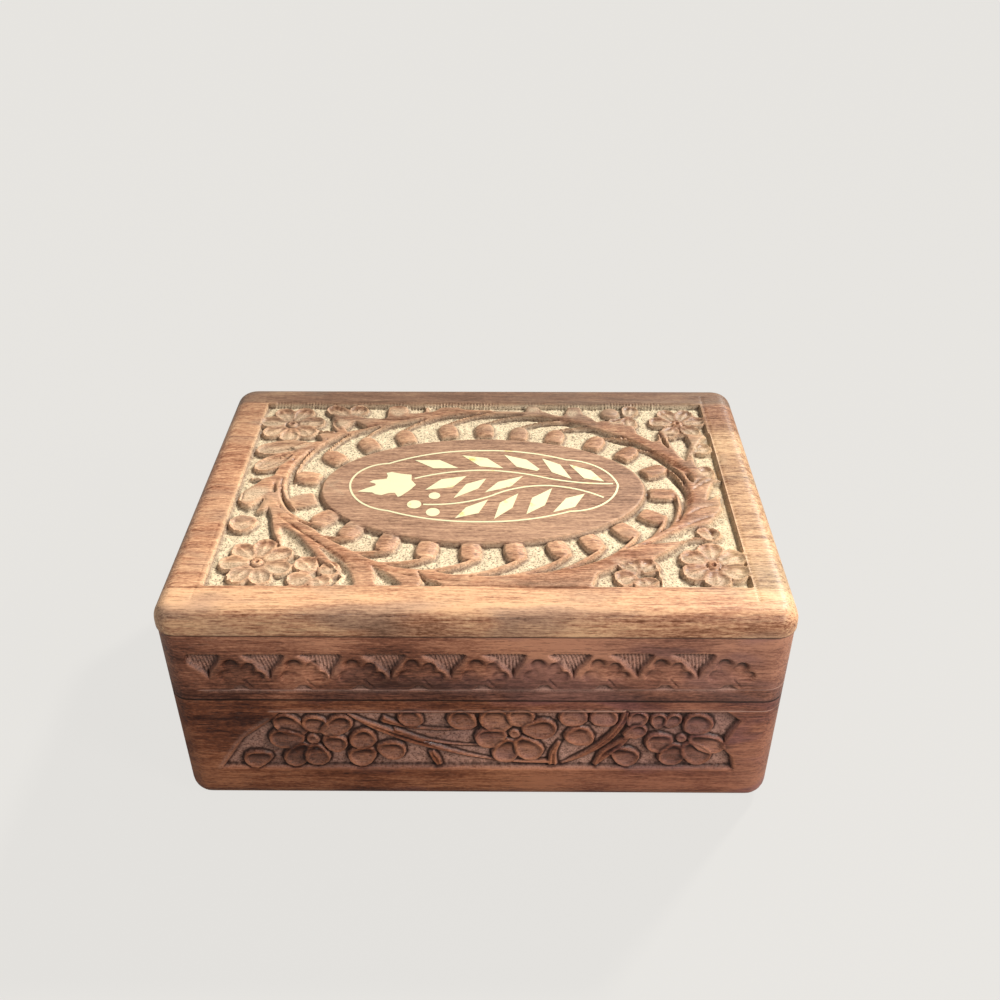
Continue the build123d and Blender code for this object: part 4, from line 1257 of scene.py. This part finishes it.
def rod(name, middle, radius, length, sides=32):
    """A cylinder along X, in mm."""
    bpy.ops.object.select_all(action="DESELECT")
    bpy.ops.mesh.primitive_cylinder_add(
        vertices=sides, radius=radius * mm, depth=length * mm, location=Vector(middle) * mm,
        rotation=(0, pi / 2, 0))
    piece = bpy.context.object
    piece.name = piece.data.name = name
    bpy.ops.object.transform_apply(location=True, rotation=True, scale=True)
    return piece


def pick(piece, kind, wanted):
    """Open a piece for editing with only the wanted edges or faces selected. wanted gets the
    part's corner places in mm, and for a face its normal."""
    alone(piece)
    bpy.ops.object.mode_set(mode="EDIT")
    bpy.ops.mesh.select_mode(type=kind)
    bpy.ops.mesh.select_all(action="DESELECT")
    shape = bmesh.from_edit_mesh(piece.data)
    parts = {"VERT": shape.verts, "EDGE": shape.edges, "FACE": shape.faces}[kind]
    for part in parts:
        places = [v.co / mm for v in ([part] if kind == "VERT" else part.verts)]
        if wanted(places, part.normal) if kind == "FACE" else wanted(places):
            part.select_set(True)
    bmesh.update_edit_mesh(piece.data)


def done():
    """Leave edit mode."""
    bpy.ops.object.mode_set(mode="OBJECT")


def round_edges(piece, wanted, radius, segments):
    """Bevel the wanted edges to an arc."""
    pick(piece, "EDGE", wanted)
    bpy.ops.mesh.bevel(offset=radius * mm, segments=segments, affect="EDGES")
    done()


def upright(side):
    """A test for upright edges at the far side: side is (axis, place) in mm."""
    axis, place = side
    return lambda ends: (abs(ends[0].x - ends[1].x) < 0.01 and abs(ends[0].y - ends[1].y) < 0.01
                         and abs(ends[0][axis] - place) < 0.01)


def cut_away(piece, cutter):
    """Subtract a cutter, which is used up."""
    alone(piece)
    modifier = piece.modifiers.new("cut", "BOOLEAN")
    modifier.object, modifier.solver = cutter, "EXACT"
    bpy.ops.object.modifier_apply(modifier="cut")
    bpy.data.objects.remove(cutter, do_unlink=True)


def finish(piece, body, slot, material, *nodes, angle=40):
    """Smooth a piece, give it its finish, and let it ride and stand for its CAD nodes."""
    alone(piece)
    bpy.ops.object.shade_smooth_by_angle(angle=radians(angle))
    piece.data.materials.clear()
    piece.data.materials.append(material)
    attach(piece, body)
    if nodes:
        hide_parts(*nodes)
    corners = np.array([v.co for v in piece.data.vertices])
    size = np.round((corners.max(0) - corners.min(0)) / mm, 1)
    print(f"{piece.name}: {len(piece.data.polygons)} faces, {size} mm")


print("modelling helpers are ready")

# %% [markdown]
# ## Carving a board
# A carved face needs many small faces where the relief is and none elsewhere. So the flat face
# is cut into a rectangle with the bisect tool, split into near-square patches, and only those
# are subdivided. Then each vertex is moved straight into the wood by the depth that the relief
# has there. Last, the collapse decimator takes faces away where the wood is still flat.

# %% Split a face and press a relief into it
def carve(piece, relief, across, up, outward, patches, cuts, keep=1.0):
    """Press a relief into the face of a piece. across and up are the axes of u and v; outward is
    the face's direction."""
    outward = Vector(outward)
    u0, u1, v0, v1 = relief.u[0], relief.u[-1], relief.v[0], relief.v[-1]
    level = max(v.co.dot(outward) for v in piece.data.vertices) / mm
    lines = [(across, u) for u in np.linspace(u0, u1, patches[0] + 1)]
    lines += [(up, v) for v in np.linspace(v0, v1, patches[1] + 1)]

    def on_face(places, normal):
        return all(abs(p.dot(outward) - level) < 0.01 for p in places)

    def on_panel(places, normal):
        return on_face(places, normal) and all(
            u0 - 0.01 < p[across] < u1 + 0.01 and v0 - 0.01 < p[up] < v1 + 0.01 for p in places)

    for axis, place in lines:
        pick(piece, "FACE", on_face)
        point, direction = [0, 0, 0], [0, 0, 0]
        point[axis], direction[axis] = place * mm, 1
        bpy.ops.mesh.bisect(plane_co=point, plane_no=direction)
        done()
    pick(piece, "FACE", on_panel)
    bpy.ops.mesh.subdivide(number_cuts=cuts)
    done()

    count = len(piece.data.vertices)
    places = np.empty(count * 3)
    piece.data.vertices.foreach_get("co", places)
    places = places.reshape(-1, 3) / mm
    u, v = places[:, across], places[:, up]
    facing = (abs(places @ np.array(outward) - level) < 0.01) & (u > u0) & (u < u1) & (v > v0) & (v < v1)

    def read(raster):
        """The raster's values at the vertices, blended between its four nearest points."""
        column = np.clip((u[facing] - u0) / (relief.u[1] - u0), 0, len(relief.u) - 1.001)
        row = np.clip((v[facing] - v0) / (relief.v[1] - v0), 0, len(relief.v) - 1.001)
        i, j = row.astype(int), column.astype(int)
        s, t = row - i, column - j
        lower = raster[i, j] * (1 - t) + raster[i, j + 1] * t
        upper = raster[i + 1, j] * (1 - t) + raster[i + 1, j + 1] * t
        return lower * (1 - s) + upper * s

    places[facing] += read(relief.height)[:, None] * np.array(outward)
    piece.data.vertices.foreach_set("co", (places * mm).ravel())
    for name, raster in (("bare", relief.bare), ("hollow", relief.hollow)):
        values = np.zeros(count)
        values[facing] = read(raster)
        piece.data.attributes.new(name, "FLOAT", "POINT").data.foreach_set("value", values)
    piece.data.update()
    if keep < 1:
        alone(piece)
        thin = piece.modifiers.new("thin", "DECIMATE")
        thin.ratio = keep
        thin.use_collapse_triangulate = True
        bpy.ops.object.modifier_apply(modifier="thin")
    print(f"carved {piece.name}: {int(facing.sum())} points moved, {len(piece.data.polygons)} faces")


print("a relief is pressed in vertex by vertex")

# %% [markdown]
# ## Ageing the carving
# Years of handling round every edge, so the raster is blurred a little. The ground was stippled
# with a punch, which seeded noise imitates. What stands proud of its blurred surroundings is an
# edge and gets rubbed light; what lies below them is a crease, which gets dirty and is given
# painted shade. The painted shade and painted highlight laid while carving are added to them.

# %% Blur, stipple and find the edges
def blur(raster, radius):
    """A soft average over the points within a radius, done three times each way."""
    for _ in range(3):
        for axis in (0, 1):
            padded = np.pad(raster, [(radius, radius) if a == axis else (0, 0) for a in (0, 1)], "edge")
            total = np.cumsum(np.insert(padded, 0, 0, axis=axis), axis=axis)
            width = 2 * radius + 1
            raster = (np.take(total, range(width, total.shape[axis]), axis)
                      - np.take(total, range(total.shape[axis] - width), axis)) / width
    return raster


def age(relief, seed):
    """Stipple the bare ground with a punch and find edges and creases."""
    random = np.random.default_rng(seed)
    dots = blur(random.random(relief.height.shape), 1)
    dots = (dots - dots.mean()) / dots.std()
    relief.height = 0.7 * relief.height + 0.3 * blur(relief.height, 1)
    share = np.clip(relief.bare / relief.bare.max(), 0, 1)
    relief.height = np.minimum(relief.height + share * 0.07 * np.clip(dots, -2.5, 2), 0)
    # creases: dirty and in painted shade; edges: rubbed light; plus the painted shade and highlight laid
    # while carving
    relief.hollow = np.clip((blur(relief.height, 2) - relief.height) / 0.35 + relief.polish, -1, 1)
    relief.bare = blur(relief.bare, 1)


for seed, face in enumerate((lid_relief, front_strip, front_band, side_strip, side_band)):
    age(face, seed)
print("aged the carving, lid's deepest cut", round(float(lid_relief.height.min()), 2), "mm")

# %% [markdown]
# ## Lid board
# The lid is one thick board with a rolled top edge. It overhangs the rails by less than half a
# millimetre. Its three sets of edges get three different radii, the upright corners first, so
# that the rolled edge runs round them in one sweep.

# %% Lid board
half_width, half_depth = 89.0, 63.5
board_bottom, lid_top = 67.5, 75.0
corner_radius, rolled_radius, eased_edge = 6.9, 5.0, 0.3
lid_low, lid_high = (-half_width, -half_depth, board_bottom), (half_width, half_depth, lid_top)
lid_cuts, lid_kept = 160, 0.55

lid_board = block("carved_lid_board", lid_low, lid_high)
round_edges(lid_board, lambda e: abs(e[0].z - e[1].z) > 1, corner_radius, 8)
round_edges(lid_board, lambda e: min(e[0].z, e[1].z) > lid_top - 0.01, rolled_radius, 8)
round_edges(lid_board, lambda e: max(e[0].z, e[1].z) < board_bottom + 0.01, eased_edge, 1)
carve(lid_board, lid_relief, 0, 1, (0, 0, 1), (3, 2), lid_cuts, lid_kept)
finish(lid_board, "lid", "carved_wood", lid_wood, "lid_board")

# %% [markdown]
# ## Rails and walls
# The front and back boards run the full width and have the box's rounded corners; the side
# boards fit between them. The tray's boards also have a rounded foot and a rebate for the base.
# One function makes them all: `side` says which side of the box a board is on.

# %% Front, back and side boards
case_half_width, case_half_depth, wall = 88.6, 63.1, 9.0
tray_height, lid_bottom = 42.9, 43.1
side_corner_radius, foot_radius, arc_steps = 6.5, 6.0, 8
rebate_low, rebate_high = (-81.6, -56.1, -1), (81.6, 56.1, 5)     # room for the base board
sides = {"front": (1, -1), "back": (1, 1), "left": (0, -1), "right": (0, 1)}


def foot_edges(axis, outer, inner):
    """A test for a wall's lower outside edges. The front and back also turn the corner."""
    def wanted(ends):
        at_foot = max(ends[0].z, ends[1].z) < 0.01
        is_inner = all(abs(p[axis] - inner) < 0.01 for p in ends)
        is_outer = all(abs(p[axis] - outer) < 0.01 for p in ends)
        return at_foot and not is_inner and (axis == 1 or is_outer)

    return wanted


def board(name, side, low, high):
    """A board on one side of the case, between two heights."""
    axis, sign = sides[side]
    outer = (case_half_width, case_half_depth)[axis]
    a, b = [0, 0, low], [0, 0, high]
    a[axis], b[axis] = sorted((sign * outer, sign * (outer - wall)))
    along = 1 - axis
    reach = case_half_width if axis else case_half_depth - wall
    a[along], b[along] = -reach, reach
    piece = block(name, a, b)
    if axis:
        round_edges(piece, upright((1, sign * outer)), side_corner_radius, arc_steps)
    if low == 0:
        round_edges(piece, foot_edges(axis, sign * outer, sign * (outer - wall)), foot_radius, arc_steps)
        cut_away(piece, block("rebate", rebate_low, rebate_high))
    return piece


def turned(relief):
    """The same relief the other way round."""
    flipped = Relief(relief.u[0], relief.u[-1], relief.v[0], relief.v[-1], 0)
    for name in ("height", "bare", "hollow"):
        setattr(flipped, name, getattr(relief, name)[:, ::-1])
    return flipped


walls = {side: board(f"carved_{side}_wall", side, 0, tray_height) for side in sides}
rails = {side: board(f"carved_{side}_rail", side, lid_bottom, board_bottom) for side in sides}
print("boards:", len(walls) + len(rails))

# %% [markdown]
# ## Hinge seats
# The hinges lie in the seam, so both back boards are cut for them: a groove for the barrel and
# a shallow mortise for each leaf. A long bevel on each outer edge lets the lid swing past
# upright; where the two bevels meet, the lid stops.

# %% Cut the seats and the stop bevel
hinge_y, hinge_z = 61.1, 43.0
hinge_places, hinge_length, groove_radius, leaf_reach = (-48.0, 48.0), 20.2, 1.85, 6.1
leaf_seat = 0.9                               # depth of a mortise
bevel_reach, bevel_slope = 3, 1.2799          # 3 mm out at 52 degrees
bevel_drop = bevel_reach * bevel_slope
clear = 95                                    # past both ends of the box

for rising, piece in ((-1, walls["back"]), (1, rails["back"])):
    wedge = block("wedge", (-clear, hinge_y, hinge_z - 0.5), (clear, hinge_y + bevel_reach, hinge_z + 0.5))
    far = hinge_z + rising * bevel_drop
    pick(wedge, "VERT", lambda p: p[0].y > hinge_y + 1 and (p[0].z - hinge_z) * rising > 0)
    bpy.ops.transform.translate(value=(0, 0, (far - hinge_z - 0.5 * rising) * mm))
    pick(wedge, "VERT", lambda p: p[0].y < hinge_y + 1 and (p[0].z - hinge_z) * rising > 0)
    bpy.ops.transform.translate(value=(0, 0, -0.5 * rising * mm))
    done()
    cut_away(piece, wedge)
    for x in hinge_places:
        low, high = sorted((hinge_z, hinge_z + rising * leaf_seat))
        cut_away(piece, rod("groove", (x, hinge_y, hinge_z), groove_radius, hinge_length))
        cut_away(piece, block("mortise", (x - hinge_length / 2, hinge_y - leaf_reach, low - 0.01),
                              (x + hinge_length / 2, hinge_y, high + 0.01)))
print("hinge seats cut at", hinge_places)

# %% [markdown]
# ## Carved sides
# Now the reliefs meet their boards. The face is split into as many patches as make it square,
# and cut more finely on the walls, where the carving is deeper.

# %% Carve the boards and finish them
strip_cuts, band_cuts, side_kept = 58, 96, 0.7
faces = {
    # side: (axis of u, outward, strip, band, patches in strip and band)
    "front": (0, (0, -1, 0), front_strip, front_band, (8, 5)),
    "back": (0, (0, 1, 0), turned(front_strip), turned(front_band), (8, 5)),
    "left": (1, (-1, 0, 0), turned(side_strip), turned(side_band), (5, 3)),
    "right": (1, (1, 0, 0), side_strip, side_band, (5, 3)),
}
for side, (across, outward, strip_face, band_face, (strip_patches, band_patches)) in faces.items():
    carve(rails[side], strip_face, across, 2, outward, (strip_patches, 1), strip_cuts, side_kept)
    carve(walls[side], band_face, across, 2, outward, (band_patches, 1), band_cuts, side_kept)
    finish(rails[side], "lid", "carved_wood", woods["rail", across], f"lid_{side}_rail")
    finish(walls[side], "tray", "carved_wood", woods["wall", across], f"{side}_wall")

# %% [markdown]
# ## Pieces that keep their CAD shape
# The brass inlay, the base and the hinges are already the right shape, so they only need a
# finish. A CAD node's mesh is never changed.

# %% Finishes for the CAD nodes
plain_base = make_wood("plain_base_wood", 0, wall_shades, side_raw)
finishes = {"inlay": inlay_brass, "base_board": plain_base, "pin": pin_steel, "leaf": hinge_brass}
for name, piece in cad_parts.items():
    for word, material in finishes.items():
        if word in name:
            piece.data.materials.clear()
            piece.data.materials.append(material)
            print(name, "is", material.name)

# %% [markdown]
# ## Slotted screws
# Each hinge leaf is held by two countersunk brass screws. A screw starts as a cone for its
# head, a shank is extruded from it, and the slot is cut with a thin block. The four in each row
# are copies, each stopped at its own angle, as screws are.

# %% Screws
screw_row = 3.925                             # mm, from the hinge's axis to its screws
screw_spots = [(x + step, hinge_y - screw_row) for x in hinge_places for step in (-6, 6)]
slot_turns = (0.3, 1.4, 2.2, 0.9)             # radians
head_radius, head_height, shank_length, point_length = 1.1, 0.5, 4.5, 1.4


def screw_body():
    """One screw with its head up: a cone, a shank and a point."""
    bpy.ops.object.select_all(action="DESELECT")
    bpy.ops.mesh.primitive_cylinder_add(
        vertices=32, radius=head_radius * mm, depth=head_height * mm, location=(0, 0, -head_height / 2 * mm))
    screw = bpy.context.object
    bpy.ops.object.transform_apply(location=True, rotation=True, scale=True)
    pick(screw, "FACE", lambda places, normal: normal.z < -0.9)
    bpy.ops.transform.resize(value=(0.55, 0.55, 1))
    for length in (shank_length, point_length):
        bpy.ops.mesh.extrude_region_move(TRANSFORM_OT_translate={"value": (0, 0, -length * mm)})
    bpy.ops.transform.resize(value=(0.15, 0.15, 1))
    done()
    return screw


def screws(name, rising, body, node_name):
    """Four screws with their heads on the seam side of a leaf."""
    face = hinge_z + rising * 0.1
    made = []
    for (x, y), turn in zip(screw_spots, slot_turns):
        screw = screw_body()
        slot_cut = block("slot", (-2, -0.16, -0.3), (2, 0.16, 1))
        slot_cut.matrix_world = Matrix.Rotation(turn, 4, "Z")
        cut_away(screw, slot_cut)
        flip = Matrix.Rotation(pi if rising > 0 else 0, 4, "X")
        screw.data.transform(Matrix.Translation(Vector((x, y, face)) * mm) @ flip)
        made.append(screw)
    bpy.ops.object.select_all(action="DESELECT")
    for screw in made:
        screw.select_set(True)
    bpy.context.view_layer.objects.active = made[0]
    bpy.ops.object.join()
    piece = bpy.context.object
    piece.name = piece.data.name = name
    finish(piece, body, "hinge_brass", hinge_brass, node_name, angle=30)


screws("slotted_tray_screws", -1, "tray", "tray_hinge_screws")
screws("slotted_lid_screws", 1, "lid", "lid_hinge_screws")

# %% [markdown]
# ## Velvet lining
# Six pieces of velvet are cut to size and glued in: one on the floor, one under the lid and one
# on each wall. Glued cloth lies nearly flat, but its pile makes it swell a little between its
# edges, which are rolled in where the cloth was cut and pressed. So each is a thin slab, split
# finely, with its face eased up away from its borders and rippled very slightly.

# %% Linings
def lining(name, low, high, body):
    """A sheet of velvet between two corners, in mm."""
    piece = block(name, low, high)
    pick(piece, "FACE", lambda places, normal: True)
    bpy.ops.mesh.subdivide(number_cuts=23)
    done()
    low, high = np.array(low), np.array(high)
    thin = int(np.argmin(high - low))
    count = len(piece.data.vertices)
    places = np.empty(count * 3)
    piece.data.vertices.foreach_get("co", places)
    places = places.reshape(-1, 3) / mm
    wide = [axis for axis in range(3) if axis != thin]
    rim = np.minimum.reduce([np.minimum(places[:, a] - low[a], high[a] - places[:, a]) for a in wide])
    a, b = places[:, wide[0]], places[:, wide[1]]
    swell = 0.55 + 0.35 * ease(rim / 4) + 0.10 * np.sin(a / 7.3 + 1.1 * np.sin(b / 9.1)) * ease(rim / 8)
    if thin == 2:
        faces_up = low[2] < lid_bottom
    else:
        faces_up = low[thin] + high[thin] < 0
    base = low[thin] if faces_up else high[thin]
    places[:, thin] = base + (places[:, thin] - base) * swell
    piece.data.vertices.foreach_set("co", (places * mm).ravel())
    piece.data.update()
    finish(piece, body, "velvet", velvet, name.replace("velvet_", ""), angle=60)


inner_x, inner_y, cloth = 79.6, 54.1, 0.8
floor_level, rim_level = 5, 39.9

for name, bottom, body, wall_name, held in (
        ("floor", floor_level, "tray", "base_board", "laid"),
        ("lid", board_bottom - cloth, "lid", "carved_lid_board", "stretched")):
    low, high = (-inner_x, -inner_y, bottom), (inner_x, inner_y, bottom + cloth)
    lining(f"velvet_{name}_lining", low, high, body)
for side, sign in (("front", -1), ("back", 1)):
    y0, y1 = sorted((sign * inner_y, sign * (inner_y - cloth)))
    low, high = (-inner_x, y0, floor_level + cloth), (inner_x, y1, rim_level)
    lining(f"velvet_{side}_lining", low, high, "tray")
for side, sign in (("left", -1), ("right", 1)):
    x0, x1 = sorted((sign * inner_x, sign * (inner_x - cloth)))
    low, high = (x0, -inner_y + cloth, floor_level + cloth), (x1, inner_y - cloth, rim_level)
    lining(f"velvet_{side}_lining", low, high, "tray")
print("velvet: one floor, one lid and four walls")
